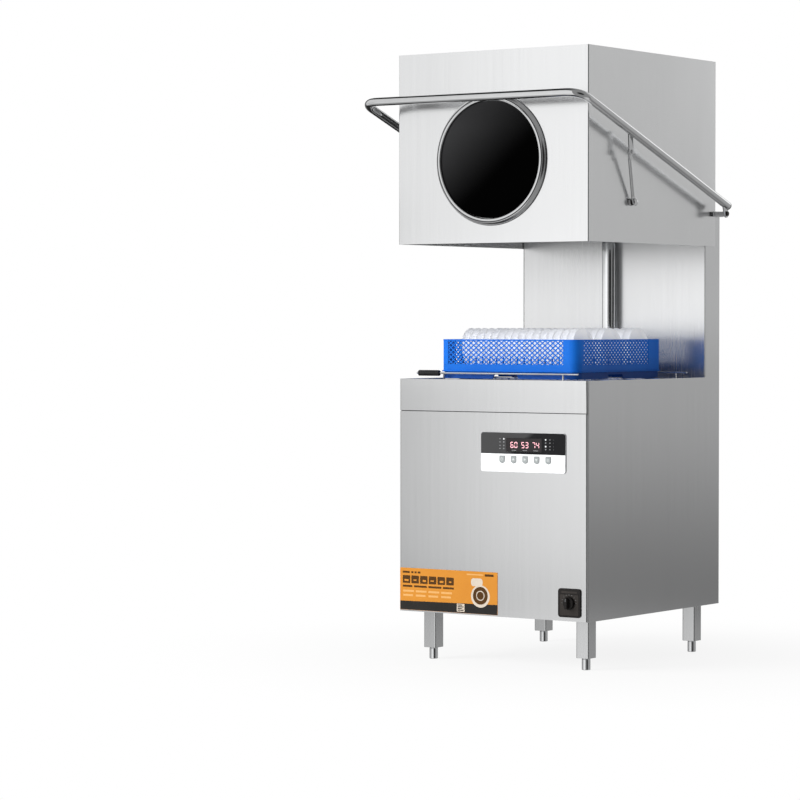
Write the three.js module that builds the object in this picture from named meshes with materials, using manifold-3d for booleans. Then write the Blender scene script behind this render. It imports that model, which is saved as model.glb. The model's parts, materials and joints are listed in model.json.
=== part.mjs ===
// Lift-hood commercial dishwasher: a cabinet on four legs with a hollow rear column, a hood that
// slides up and down the column, a U-shaped lift handle hinged behind it, and a rack of dishes.
// Millimetres, +Z up, front towards -Y. The origin is the middle of the bounding box's bottom face.
import * as THREE from 'three';
import { mergeVertices } from 'three/addons/utils/BufferGeometryUtils.js';
import Module from 'manifold-3d';

const wasm = await Module();
wasm.setup();

// ---- driving dimensions -------------------------------------------------------------------
const SHEET = 1.5; // stainless sheet thickness
const GAP = 0.4; // air between two separate pieces
const BASE_W = 678; // cabinet and column width
const BASE_D = 790; // cabinet depth, column included
const LEG_H = 152; // floor to cabinet underside
const TOP_Z = 867; // cabinet top edge
const BAND_H = 98; // fixed band above the service panel
const COLUMN_D = 90; // rear column depth
const COLUMN_TOP = 1380; // rear column top
const STROKE = 412; // hood travel
const HOOD_W = 684; // hood outer width
const HOOD_D = 757; // hood outer depth
const HOOD_H = 579; // hood outer height
const CORNER_R = 7; // rounded front corners of the cabinet panels
const JOINT = 1.8; // visible joint between the front panels and the side panels

const HALF_W = BASE_W / 2;
const FRONT = -BASE_D / 2;
const BACK = BASE_D / 2;
const COLUMN_Y = BACK - COLUMN_D; // splash panel face
const HOOD_Z = TOP_Z + STROKE; // underside of the raised hood
const HOOD_TOP = HOOD_Z + HOOD_H;
const HOOD_BACK = FRONT + HOOD_D;
const INSIDE = HALF_W - SHEET - GAP; // half width inside the side panels

const WINDOW_Z = HOOD_Z + 250; // window centre
const GLASS_R = 176.5;
const RING_R = 197;
const RING_PROUD = 16;

const CHAMBER_Y = -56; // spray axis, rack centre and tank centre
const RACK = 500; // standard rack side
const RACK_Z = 868; // rack underside
const RACK_H = 120;
const RACK_WALL = 6;

const TANK_W = 524;
const TANK_Z = 640; // tank bottom
const DECK_Z = 854; // deck upper face
const ROD_R = 3; // rack track rod radius
const RAIL_Z = 884; // guide rails beside the rack
const SKID_Z = RACK_Z - ROD_R - 0.5; // rods that the rack slides on
const TIE_Z = SKID_Z - 2 * ROD_R + 1; // cross rods under the skids
const RAIL_FRONT = CHAMBER_Y - RACK / 2 - 13;
const RAIL_REAR = CHAMBER_Y + RACK / 2 + 13;

const RISER_X = 0;
const RISER_Y = COLUMN_Y - 25;
const RISER_R = 21;
const ARM_REACH = 245; // wash arm radius
const SPINDLE_R = 7;

const TUBE_R = 12.5; // lift handle tube radius
const TUBE_WALL = 1.5;
const ARM_X = 390; // handle side arm, from the middle plane
const BAR_Y = -516; // handle front bar
const BAR_Z = 1709;
const ARM_END_Y = 358; // rear end of the side arms
const ARM_SLOPE = 0.3497; // rise of the side arms towards the front
const BEND_R = 55; // handle corner radius
const PIVOT = { y: 347, z: 1380 }; // handle hinge
const LINK_TOP = { y: -212, z: 1548.5 }; // upper link joint on the handle
const LINK_PIN = { y: -151.5, z: 1401.5 }; // lower link joint on the hood
const LINK_X = 371.8; // middle plane of the upper link eyes
const LINK_LOW_X = 352.5; // middle plane of the lower link eyes
const LINK_T = 5;

const LEG = 45; // square leg tube
const LEG_X = 277;
const LEG_FRONT = -299;
const LEG_REAR = 333;
const FOOT_H = 36; // visible height of the adjustable foot
const FOOT_R = 13.3;

const PANEL = { x0: -35, x1: 265, z0: 591, z1: 709, t: 4 }; // control panel plate
const DISPLAY = { x0: 57, x1: 182, z0: 653, z1: 693 };
const BUTTON = { x0: 41.5, pitch: 41, count: 5, z: 628, w: 19, h: 22 };
const ISOLATOR = { x: 279.5, z: 207.5, w: 79, h: 86, t: 4 };
const LABEL = { x0: -336, x1: 23, z0: 157, z1: 286, t: 0.5 };

// ---- materials ----------------------------------------------------------------------------
const FINISH = {
  steel: { color: 0xc9cbcd, roughness: 0.35, metalness: 1 },
  chrome: { color: 0xe6e8ea, roughness: 0.08, metalness: 1 },
  darkGlass: { color: 0x0c0d0f, roughness: 0.05, metalness: 0 },
  blackPlastic: { color: 0x17181a, roughness: 0.4, metalness: 0 },
  greyPlastic: { color: 0x9aa0a6, roughness: 0.5, metalness: 0 },
  whitePlastic: { color: 0xf2f3f3, roughness: 0.4, metalness: 0 },
  blueRack: { color: 0x1e78e0, roughness: 0.45, metalness: 0 },
  label: { color: 0xe59b36, roughness: 0.5, metalness: 0 },
  circuit: { color: 0x1f6b3a, roughness: 0.6, metalness: 0 },
  paintedGrey: { color: 0x5c6268, roughness: 0.55, metalness: 0.2 },
  foam: { color: 0x2a2b2d, roughness: 0.95, metalness: 0 },
};

const model = new THREE.Group();

function add(name, geometry, finish) {
  const mesh = new THREE.Mesh(geometry, new THREE.MeshStandardMaterial(FINISH[finish]));
  mesh.name = name;
  model.add(mesh);
  return mesh;
}

// ---- solid helpers ------------------------------------------------------------------------
// Positions only, shared vertices merged, and the empty triangles at a lathe's poles dropped.
function welded(geometry) {
  const bare = geometry.clone();
  bare.deleteAttribute('normal');
  bare.deleteAttribute('uv');
  const merged = mergeVertices(bare, 1e-4);
  const index = merged.index.array;
  const kept = [];
  for (let i = 0; i < index.length; i += 3) {
    const [a, b, c] = [index[i], index[i + 1], index[i + 2]];
    if (a !== b && b !== c && c !== a) kept.push(a, b, c);
  }
  merged.setIndex(kept);
  return merged;
}

function solid(geometry) {
  const merged = welded(geometry);
  const vertProperties = new Float32Array(merged.attributes.position.array);
  const triVerts = new Uint32Array(merged.index.array);
  return new wasm.Manifold(new wasm.Mesh({ numProp: 3, vertProperties, triVerts }));
}

function geometryOf(body) {
  const mesh = body.getMesh();
  const geometry = new THREE.BufferGeometry();
  geometry.setAttribute('position', new THREE.BufferAttribute(mesh.vertProperties, 3));
  geometry.setIndex(new THREE.BufferAttribute(mesh.triVerts, 1));
  geometry.computeVertexNormals();
  return geometry;
}

function join(...parts) {
  return geometryOf(parts.map(solid).reduce((sum, part) => sum.add(part)));
}

function cut(base, ...tools) {
  return geometryOf(tools.map(solid).reduce((rest, tool) => rest.subtract(tool), solid(base)));
}

function box(x0, x1, y0, y1, z0, z1) {
  const geometry = new THREE.BoxGeometry(x1 - x0, y1 - y0, z1 - z0);
  return geometry.translate((x0 + x1) / 2, (y0 + y1) / 2, (z0 + z1) / 2);
}

function extruded(shape, depth, segments) {
  return new THREE.ExtrudeGeometry(shape, { depth, bevelEnabled: false, curveSegments: segments });
}

// A shape drawn in X and Y, raised from z0 to z1.
function prismZ(shape, z0, z1, segments = 2) {
  return extruded(shape, z1 - z0, segments).translate(0, 0, z0);
}

// A shape drawn in X and Z, running from y0 to y1.
function prismY(shape, y0, y1, segments = 2) {
  return extruded(shape, y1 - y0, segments).rotateX(Math.PI / 2).translate(0, y1, 0);
}

// A shape drawn in Y and Z, running from x0 to x1.
function prismX(shape, x0, x1, segments = 2) {
  const turn = new THREE.Matrix4().makeBasis(
    new THREE.Vector3(0, 1, 0), new THREE.Vector3(0, 0, 1), new THREE.Vector3(1, 0, 0));
  return extruded(shape, x1 - x0, segments).applyMatrix4(turn).translate(x0, 0, 0);
}

function roundedRect(x0, x1, y0, y1, r) {
  const shape = new THREE.Shape();
  shape.absarc(x1 - r, y0 + r, r, -Math.PI / 2, 0);
  shape.absarc(x1 - r, y1 - r, r, 0, Math.PI / 2);
  shape.absarc(x0 + r, y1 - r, r, Math.PI / 2, Math.PI);
  shape.absarc(x0 + r, y0 + r, r, Math.PI, Math.PI * 1.5);
  shape.closePath();
  return shape;
}

function polygon(points) {
  return new THREE.Shape(points.map(([a, b]) => new THREE.Vector2(a, b)));
}

// A bar outline with round ends, from one centre to the other.
function stadium(a, b, r) {
  const along = Math.atan2(b.z - a.z, b.y - a.y);
  const shape = new THREE.Shape();
  shape.absarc(b.y, b.z, r, along - Math.PI / 2, along + Math.PI / 2);
  shape.absarc(a.y, a.z, r, along + Math.PI / 2, along + Math.PI * 1.5);
  shape.closePath();
  return shape;
}

function cylinderX(y, z, r, x0, x1, sides = 24) {
  const geometry = new THREE.CylinderGeometry(r, r, x1 - x0, sides);
  return geometry.rotateZ(Math.PI / 2).translate((x0 + x1) / 2, y, z);
}

function cylinderY(x, z, r, y0, y1, sides = 24) {
  return new THREE.CylinderGeometry(r, r, y1 - y0, sides).translate(x, (y0 + y1) / 2, z);
}

function cylinderZ(x, y, r, z0, z1, sides = 24) {
  const geometry = new THREE.CylinderGeometry(r, r, z1 - z0, sides);
  return geometry.rotateX(Math.PI / 2).translate(x, y, (z0 + z1) / 2);
}

// A turned piece standing on its axis at x, y. The profile is [radius, height] pairs going up the
// outside, and it starts and ends on the axis or closes on itself.
function turnedZ(profile, x, y, sides = 24) {
  const points = profile.map(([r, h]) => new THREE.Vector2(r, h));
  return new THREE.LatheGeometry(points, sides).rotateX(Math.PI / 2).translate(x, y, 0);
}

// The same, turned about a line along Y at x, z, with heights counted along +Y.
function turnedY(profile, x, z, sides = 24) {
  const points = profile.map(([r, h]) => new THREE.Vector2(r, h));
  return new THREE.LatheGeometry(points, sides).translate(x, 0, z);
}

// The same, turned about a line along X at y, z, with heights counted along +X.
function turnedX(profile, y, z, sides = 24) {
  const points = profile.map(([r, h]) => new THREE.Vector2(r, h));
  return new THREE.LatheGeometry(points, sides).rotateZ(-Math.PI / 2).translate(0, y, z);
}

// A tube of round section along a curve.
function tube(curve, r, steps, sides = 10) {
  const section = new THREE.Shape();
  section.absarc(0, 0, r, 0, Math.PI * 2);
  const options = { steps, extrudePath: curve, bevelEnabled: false, curveSegments: sides / 2 };
  return new THREE.ExtrudeGeometry(section, options);
}

// A quarter or part bend between two straight lines, as a smooth three-point curve.
function bend(a, b, c) {
  return new THREE.QuadraticBezierCurve3(a, b, c);
}

const at = (x, y, z) => new THREE.Vector3(x, y, z);

// A shallow sheet pan, open at the back, with its face at y and round vertical front edges.
function pan(x0, x1, y, depth, z0, z1, r) {
  const outline = (inset) => {
    const shape = new THREE.Shape();
    const round = Math.max(r - inset, 0.5);
    shape.moveTo(x1 - inset, y + depth + inset);
    shape.lineTo(x0 + inset, y + depth + inset);
    shape.absarc(x0 + inset + round, y + inset + round, round, Math.PI, Math.PI * 1.5);
    shape.absarc(x1 - inset - round, y + inset + round, round, Math.PI * 1.5, Math.PI * 2);
    shape.closePath();
    return shape;
  };
  return cut(prismZ(outline(0), z0, z1), prismZ(outline(SHEET), z0 + SHEET, z1 - SHEET));
}

// ---- cabinet ------------------------------------------------------------------------------
function buildCabinet() {
  const sideFront = FRONT + CORNER_R + JOINT;
  const sideOutline = polygon([
    [sideFront, LEG_H], [BACK, LEG_H], [BACK, COLUMN_TOP], [COLUMN_Y, COLUMN_TOP],
    [COLUMN_Y, TOP_Z], [sideFront, TOP_Z],
  ]);
  for (const [name, x0] of [['side_panel_left', -HALF_W], ['side_panel_right', HALF_W - SHEET]]) {
    add(name, prismX(sideOutline, x0, x0 + SHEET), 'steel');
  }

  const seam = TOP_Z - BAND_H;
  add('front_top_band', pan(-HALF_W, HALF_W, FRONT, CORNER_R, seam + 1, TOP_Z, CORNER_R), 'steel');
  const skin = pan(-HALF_W, HALF_W, FRONT, CORNER_R, LEG_H + 1, seam - 1, CORNER_R);
  const isolatorHole = cylinderY(ISOLATOR.x, ISOLATOR.z, 22, FRONT - 5, FRONT + 5, 16);
  add('front_service_panel', cut(skin, isolatorHole, ...controlHoles(2, FRONT - 5, FRONT + 5)), 'steel');

  const rear = box(-INSIDE, INSIDE, BACK - SHEET, BACK, LEG_H + 4, COLUMN_TOP - 2);
  const louvres = [];
  for (let i = 0; i < 6; i += 1) {
    const z = 260 + i * 30;
    louvres.push(box(60, 220, BACK - 5, BACK + 5, z, z + 8));
  }
  add('rear_panel', cut(rear, ...louvres), 'steel');
  const splash = pan(-INSIDE, INSIDE, COLUMN_Y, 16, DECK_Z + GAP, COLUMN_TOP - 2, 2);
  add('splash_panel', splash, 'steel');
  const cap = box(-INSIDE, INSIDE, COLUMN_Y, BACK, COLUMN_TOP - SHEET, COLUMN_TOP);
  const slot = box(-INSIDE + 10, INSIDE - 10, HOOD_BACK - 24, HOOD_BACK - 10, COLUMN_TOP - 5, COLUMN_TOP + 5);
  add('column_top_cap', cut(cap, slot), 'steel');

  const trayFront = FRONT + CORNER_R + JOINT;
  const tray = box(-INSIDE, INSIDE, trayFront, BACK - SHEET - GAP, LEG_H, LEG_H + 30);
  const trayHollow = box(
    -INSIDE + 2, INSIDE - 2, trayFront + 2, BACK - SHEET - GAP - 2, LEG_H + 2, LEG_H + 40);
  add('base_tray', cut(tray, trayHollow), 'steel');
}

function buildLegs() {
  const places = { front_left: [-1, LEG_FRONT], front_right: [1, LEG_FRONT], rear_left: [-1, LEG_REAR],
    rear_right: [1, LEG_REAR] };
  for (const [place, [side, y]] of Object.entries(places)) {
    const x = side * LEG_X;
    const leg = prismZ(roundedRect(x - LEG / 2, x + LEG / 2, y - LEG / 2, y + LEG / 2, 5),
      FOOT_H, LEG_H - GAP, 3);
    const bore = cylinderZ(x, y, 8.5, FOOT_H - 5, FOOT_H + 60, 12);
    add(`leg_${place}`, cut(leg, bore), 'steel');
    const foot = [[0, 0], [12, 0], [FOOT_R, 1.5], [FOOT_R, FOOT_H - 2], [FOOT_R - 1, FOOT_H - GAP],
      [8, FOOT_H - GAP], [8, FOOT_H + 50], [0, FOOT_H + 50]];
    add(`foot_${place}`, turnedZ(foot, x, y, 14), 'chrome');
  }
}

// ---- wash chamber -------------------------------------------------------------------------
function buildTank() {
  const half = TANK_W / 2;
  const deck = box(-INSIDE, INSIDE, FRONT + CORNER_R + JOINT, COLUMN_Y - GAP, DECK_Z - 2, DECK_Z);
  const outer = prismZ(
    roundedRect(-half, half, CHAMBER_Y - half, CHAMBER_Y + half, 40), TANK_Z, DECK_Z - 1, 3);
  const inner = prismZ(roundedRect(-half + SHEET, half - SHEET, CHAMBER_Y - half + SHEET,
    CHAMBER_Y + half - SHEET, 38.5), TANK_Z + SHEET, DECK_Z + 5, 3);
  const drain = cylinderZ(-half + 37, CHAMBER_Y - half + 37, 17, TANK_Z - 5, TANK_Z + 5);
  const suction = cylinderZ(120, CHAMBER_Y - 120, 24, TANK_Z - 5, TANK_Z + 5);
  const feed = cylinderZ(0, CHAMBER_Y, 20, TANK_Z - 5, TANK_Z + 5);
  const riserFoot = cylinderZ(RISER_X, RISER_Y, 18, DECK_Z - 5, DECK_Z + 5);
  add('wash_tank', cut(join(deck, outer), inner, drain, suction, feed, riserFoot), 'steel');

  const pipeX = -half + 37;
  const pipeY = CHAMBER_Y - half + 37;
  const standpipe = [[0, TANK_Z - 12], [13, TANK_Z - 12], [13, TANK_Z + 4], [19, TANK_Z + 6],
    [19, TANK_Z + 12], [14, TANK_Z + 14], [14, 778], [18, 780], [18, 790], [12, 790], [12, 660], [0, 660]];
  add('overflow_pipe', turnedZ(standpipe, pipeX, pipeY, 14), 'whitePlastic');

  const filterZ = 762;
  const sheet = prismZ(roundedRect(-half + 5, half - 5, CHAMBER_Y - half + 5, CHAMBER_Y + half - 5, 36),
    filterZ, filterZ + 2);
  const rib = box(-half + 40, half - 40, CHAMBER_Y - 30, CHAMBER_Y + 30, filterZ - 6, filterZ + 1);
  const pipeHole = cylinderZ(pipeX, pipeY, 22, filterZ - 10, filterZ + 10);
  const standHole = cylinderZ(0, CHAMBER_Y, 22, filterZ - 10, filterZ + 10);
  add('tank_filter', cut(join(sheet, rib), pipeHole, standHole), 'steel');

  const y0 = CHAMBER_Y + 120;
  const y1 = CHAMBER_Y + 180;
  const z = 668;
  const legA = tube(new THREE.LineCurve3(at(-150, y0, z), at(150, y0, z)), 4.5, 1, 8);
  const turn = tube(new THREE.CubicBezierCurve3(
    at(149.5, y0, z), at(200, y0, z), at(200, y1, z), at(149.5, y1, z)), 4.5, 8, 8);
  const legB = tube(new THREE.LineCurve3(at(150, y1, z), at(-150, y1, z)), 4.5, 1, 8);
  const stubs = [y0, y1].map((y) => cylinderZ(-150, y, 7, z - 12, z + 6, 12));
  const flange = box(-164, -136, y0 - 14, y1 + 14, z - 24, z - 11);
  add('tank_heater', join(legA, turn, legB, ...stubs, flange), 'chrome');
}

function buildTrack() {
  const rods = [];
  const reach = 330;
  rods.push(cylinderX(RAIL_FRONT, RAIL_Z, ROD_R, -326, RACK / 2 + 10, 8));
  rods.push(cylinderX(RAIL_REAR, RAIL_Z, ROD_R, -reach, reach, 8));
  for (const y of [CHAMBER_Y - 150, CHAMBER_Y, CHAMBER_Y + 150]) {
    rods.push(cylinderX(y, SKID_Z, ROD_R, -300, 300, 8));
  }
  for (const x of [-290, 290]) rods.push(cylinderY(x, TIE_Z, ROD_R, RAIL_FRONT, RAIL_REAR, 8));
  rods.push(cylinderX(RAIL_FRONT, TIE_Z, ROD_R, -290, 290, 8));
  for (const x of [-225, 207]) rods.push(cylinderZ(x, RAIL_FRONT, ROD_R, DECK_Z + GAP, RAIL_Z, 8));
  for (const x of [-290, 290]) rods.push(cylinderZ(x, RAIL_REAR, ROD_R, DECK_Z + GAP, RAIL_Z, 8));
  add('rack_track', join(...rods), 'chrome');

  const pitch = 7;
  const ridges = [[ROD_R + GAP, 0]];
  for (let i = 0; i < 11; i += 1) {
    ridges.push([9, i * pitch + 0.5], [9, i * pitch + 5], [7, i * pitch + 5.6], [7, i * pitch + pitch]);
  }
  ridges.push([ROD_R + GAP, 11 * pitch], [ROD_R + GAP, 0]);
  const sleeve = turnedX(ridges, RAIL_FRONT, RAIL_Z, 10);
  add('track_sleeve', sleeve.translate(-318, 0, 0), 'blackPlastic');
}

function sprayArm(name, z, reach, width, thick) {
  const along = stadium({ y: -reach + width / 2, z: 0 }, { y: reach - width / 2, z: 0 }, width / 2);
  const blade = prismZ(along, z, z + thick, 4).translate(0, CHAMBER_Y, 0);
  const hub = cylinderZ(0, CHAMBER_Y, 26, z - 3, z + thick + 3, 16);
  const bore = cylinderZ(0, CHAMBER_Y, SPINDLE_R + GAP, z - 10, z + thick + 10, 12);
  add(name, cut(join(blade, hub), bore), 'steel');
}

function buildSpray() {
  const riser = [[0, DECK_Z - 40], [16, DECK_Z - 40], [16, DECK_Z + GAP], [RISER_R + 2, DECK_Z + GAP],
    [RISER_R + 2, DECK_Z + 6], [RISER_R, DECK_Z + 8], [RISER_R, 1364], [0, 1364]];
  add('wash_riser', turnedZ(riser, RISER_X, RISER_Y, 28), 'chrome');

  const pipeZ = 1394;
  const elbow = turnedZ([[0, 1364 + GAP], [RISER_R, 1364 + GAP], [RISER_R, 1400], [17, 1414], [8, 1420],
    [0, 1421]], RISER_X, RISER_Y, 16);
  const run = tube(new THREE.LineCurve3(at(RISER_X, RISER_Y, pipeZ), at(0, CHAMBER_Y, pipeZ)), 19, 1, 14);
  const head = turnedZ([[0, 1306], [13, 1306], [13, 1310], [SPINDLE_R, 1311], [SPINDLE_R, 1366],
    [26, 1368], [26, 1412], [18, 1416], [0, 1416]], 0, CHAMBER_Y, 16);
  add('upper_manifold', join(elbow, run, head), 'chrome');
  sprayArm('upper_wash_arm', 1342, ARM_REACH, 36, 16);
  sprayArm('upper_rinse_arm', 1318, ARM_REACH - 15, 20, 12);

  const stand = turnedZ([[0, TANK_Z - 40], [17, TANK_Z - 40], [17, TANK_Z + SHEET + GAP],
    [27, TANK_Z + SHEET + GAP], [27, TANK_Z + 10], [19, TANK_Z + 14], [19, 796], [SPINDLE_R, 797],
    [SPINDLE_R, 851], [13, 852], [13, 857], [0, 857]], 0, CHAMBER_Y, 16);
  add('lower_manifold', stand, 'chrome');
  sprayArm('lower_wash_arm', 803, ARM_REACH, 36, 16);
  sprayArm('lower_rinse_arm', 831, ARM_REACH - 15, 20, 12);
}

function buildRack() {
  const half = RACK / 2;
  const outline = (inset, r) => roundedRect(
    -half + inset, half - inset, CHAMBER_Y - half + inset, CHAMBER_Y + half - inset, r);
  const walls = prismZ(outline(0, 14), RACK_Z, RACK_Z + RACK_H, 4);
  const hollow = prismZ(outline(RACK_WALL, 8), RACK_Z + 5, RACK_Z + RACK_H + 5, 4);
  const windows = [];
  const cell = (RACK - 2 * 22) / 4;
  for (let i = 0; i < 4; i += 1) {
    for (let j = 0; j < 4; j += 1) {
      const x = -half + 22 + i * cell;
      const y = CHAMBER_Y - half + 22 + j * cell;
      windows.push(box(x + 5, x + cell - 5, y + 5, y + cell - 5, RACK_Z - 5, RACK_Z + 10));
    }
  }
  add('dish_rack', cut(walls, hollow, ...windows), 'blueRack');
}

// ---- plumbing and electrics under the tank -------------------------------------------------
function buildMachinery() {
  const volute = turnedY([[0, -150], [30, -150], [34, -146], [80, -140], [92, -128], [92, -102], [80, -92],
    [0, -92]], 20, 270, 16);
  const outlet = cylinderX(-110, 330, 22, 60, 130, 16);
  const motor = [[0, -93], [66, -93], [72, -84]];
  for (let i = 0; i < 3; i += 1) {
    motor.push([78, -70 + i * 50], [78, -40 + i * 50], [73, -38 + i * 50], [73, -26 + i * 50]);
  }
  motor.push([72, 92], [50, 104], [0, 106]);
  const voluteHollow = turnedY([[0, -155], [22, -155], [22, -140], [74, -134], [84, -124], [84, -106],
    [74, -98], [8, -98], [8, -80], [60, -80], [62, 84], [44, 98], [0, 98]], 20, 270, 14);
  const outletHollow = cylinderX(-110, 330, 16, 70, 135, 14);
  const pump = join(volute, outlet, turnedY(motor, 20, 270, 14));
  add('wash_pump', cut(pump, voluteHollow, outletHollow), 'paintedGrey');

  const suction = tube(new THREE.CubicBezierCurve3(at(120, CHAMBER_Y - 120, TANK_Z - 1),
    at(120, CHAMBER_Y - 120, 470), at(20, -300, 270), at(20, -150.5, 270)), 22, 10, 10);
  add('suction_hose', suction, 'foam');
  const delivery = tube(new THREE.CubicBezierCurve3(at(130.5, -110, 330), at(230, -110, 330),
    at(RISER_X, RISER_Y, 350), at(RISER_X, RISER_Y, DECK_Z - 41)), 19, 14, 10);
  add('delivery_hose', delivery, 'foam');

  const boilerX = -215;
  const boilerY = 120;
  const boiler = [[0, 196], [60, 198], [88, 212], [96, 236], [96, 560], [86, 586], [56, 600], [34, 602],
    [34, 614], [20, 616], [20, 630], [0, 630]];
  const water = [[0, 190], [10, 190], [10, 202], [58, 202], [85, 215], [93, 238], [93, 558], [84, 583],
    [55, 597], [0, 599]];
  add('booster_boiler', cut(turnedZ(boiler, boilerX, boilerY, 16), turnedZ(water, boilerX, boilerY, 16)),
    'steel');

  const cabinetBox = roundedRect(-20, 250, 425, 585, 6);
  const boxHollow = prismY(roundedRect(-18, 248, 427, 583, 4), -370, -264, 3);
  const wiringHole = cylinderZ(115, -317, 15, 420, 435, 14);
  add('electrical_box', cut(prismY(cabinetBox, -372, -262, 3), boxHollow, wiringHole), 'paintedGrey');
  add('control_board', box(-12, 244, -386, -384, 604, 698), 'circuit');

  const rearFittings = {
    cable_gland: [-250, 250, 11, 'blackPlastic'],
    water_inlet: [-180, 250, 13, 'chrome'],
    drain_outlet: [-90, 230, 22, 'greyPlastic'],
  };
  for (const [name, [x, z, r, finish]] of Object.entries(rearFittings)) {
    const stub = [[0, BACK + GAP], [r + 5, BACK + GAP], [r + 5, BACK + 5], [r, BACK + 6], [r, BACK + 16],
      [r - 4, BACK + 16], [r - 4, BACK + 5], [0, BACK + 5]];
    add(name, turnedY(stub, x, z, 14), finish);
  }
}

// ---- controls -----------------------------------------------------------------------------
// A button cap outline: straight top and sides, and a rounded point below.
function shield(x, z, w, h) {
  const shape = new THREE.Shape();
  shape.moveTo(x - w / 2, z + h / 2);
  shape.lineTo(x - w / 2, z - h / 6);
  shape.quadraticCurveTo(x - w / 2, z - h / 2.6, x, z - h / 2);
  shape.quadraticCurveTo(x + w / 2, z - h / 2.6, x + w / 2, z - h / 6);
  shape.lineTo(x + w / 2, z + h / 2);
  shape.closePath();
  return shape;
}

function buttonAt(i, growth) {
  return shield(BUTTON.x0 + i * BUTTON.pitch, BUTTON.z, BUTTON.w + growth, BUTTON.h + growth);
}

// Cutting tools for the display and the buttons, each larger than its piece by the growth.
function controlHoles(growth, y0, y1) {
  const holes = [box(DISPLAY.x0 - growth / 2, DISPLAY.x1 + growth / 2, y0, y1,
    DISPLAY.z0 - growth / 2, DISPLAY.z1 + growth / 2)];
  for (let i = 0; i < BUTTON.count; i += 1) holes.push(prismY(buttonAt(i, growth), y0, y1));
  return holes;
}

function buildControls() {
  const face = FRONT - GAP;
  const plate = prismY(roundedRect(PANEL.x0, PANEL.x1, PANEL.z0, PANEL.z1, 8), face - PANEL.t, face);
  add('control_panel', cut(plate, ...controlHoles(1, face - 10, face + 5)), 'whitePlastic');
  for (let i = 0; i < BUTTON.count; i += 1) {
    add(`button_${i + 1}`, prismY(buttonAt(i, 0), face - PANEL.t - 1.6, FRONT + 5), 'greyPlastic');
  }
  add('display_window', box(DISPLAY.x0, DISPLAY.x1, face - PANEL.t + 0.6, FRONT + 4,
    DISPLAY.z0, DISPLAY.z1), 'darkGlass');

  const iso = ISOLATOR;
  const isoPlate = prismY(roundedRect(iso.x - iso.w / 2, iso.x + iso.w / 2, iso.z - iso.h / 2,
    iso.z + iso.h / 2, 8), face - iso.t, face);
  add('isolator_plate', cut(isoPlate, cylinderY(iso.x, iso.z, 8.5, face - 10, face + 5)), 'blackPlastic');
  const dial = turnedY([[0, face - iso.t - 9], [16, face - iso.t - 9], [18, face - iso.t - 7],
    [18, face - iso.t - GAP], [8, face - iso.t - GAP], [8, FRONT + 10], [0, FRONT + 10]],
  iso.x, iso.z, 24);
  const grip = prismY(roundedRect(iso.x - 5, iso.x + 5, iso.z - 17, iso.z + 17, 4),
    face - iso.t - 22, face - iso.t - 8, 3);
  add('isolator_knob', join(dial, grip), 'blackPlastic');

  const plateOutline = roundedRect(LABEL.x0, LABEL.x1, LABEL.z0, LABEL.z1, 2);
  add('info_label', prismY(plateOutline, face - LABEL.t, face, 2), 'label');
}

// ---- hood ---------------------------------------------------------------------------------
function buildHood() {
  const half = HOOD_W / 2;
  const outline = (inset) => {
    const shape = new THREE.Shape();
    const r = 4 - inset;
    shape.moveTo(half - inset, HOOD_BACK + inset * 4);
    shape.lineTo(-half + inset, HOOD_BACK + inset * 4);
    shape.absarc(-half + inset + r, FRONT + inset + r, r, Math.PI, Math.PI * 1.5);
    shape.absarc(half - inset - r, FRONT + inset + r, r, Math.PI * 1.5, Math.PI * 2);
    shape.closePath();
    return shape;
  };
  const outside = prismZ(outline(0), HOOD_Z, HOOD_TOP, 4);
  const inside = prismZ(outline(SHEET), HOOD_Z - 5, HOOD_TOP - SHEET, 4);
  const porthole = cylinderY(0, WINDOW_Z, 165, FRONT - 5, FRONT + 10, 40);
  add('hood_shell', cut(outside, inside, porthole), 'steel');

  const y = HOOD_BACK - 18;
  const rearBottom = COLUMN_TOP + 2;
  add('hood_rear_panel', box(-INSIDE + 14, INSIDE - 14, y, y + SHEET, rearBottom, HOOD_TOP - SHEET - GAP),
    'steel');

  const ringBack = FRONT - GAP;
  const ringFront = ringBack - RING_PROUD;
  const ring = [[GLASS_R + GAP, ringFront + 1], [GLASS_R + 2, ringFront], [RING_R - 5, ringFront],
    [RING_R, ringFront + 4], [RING_R, ringBack], [GLASS_R - 8, ringBack], [GLASS_R - 8, ringBack - 3],
    [GLASS_R + GAP, ringBack - 3], [GLASS_R + GAP, ringFront + 1]];
  add('window_ring', turnedY(ring, 0, WINDOW_Z, 40), 'chrome');
  const glass = [[0, ringFront + 2], [GLASS_R - 2, ringFront + 3], [GLASS_R, ringFront + 5],
    [GLASS_R, ringBack - 3 - GAP], [0, ringBack - 3 - GAP]];
  add('window_glass', turnedY(glass, 0, WINDOW_Z, 40), 'darkGlass');
}

// ---- lift handle and linkage --------------------------------------------------------------
const armZ = (y) => BAR_Z - ARM_SLOPE * (y - BAR_Y);

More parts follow.
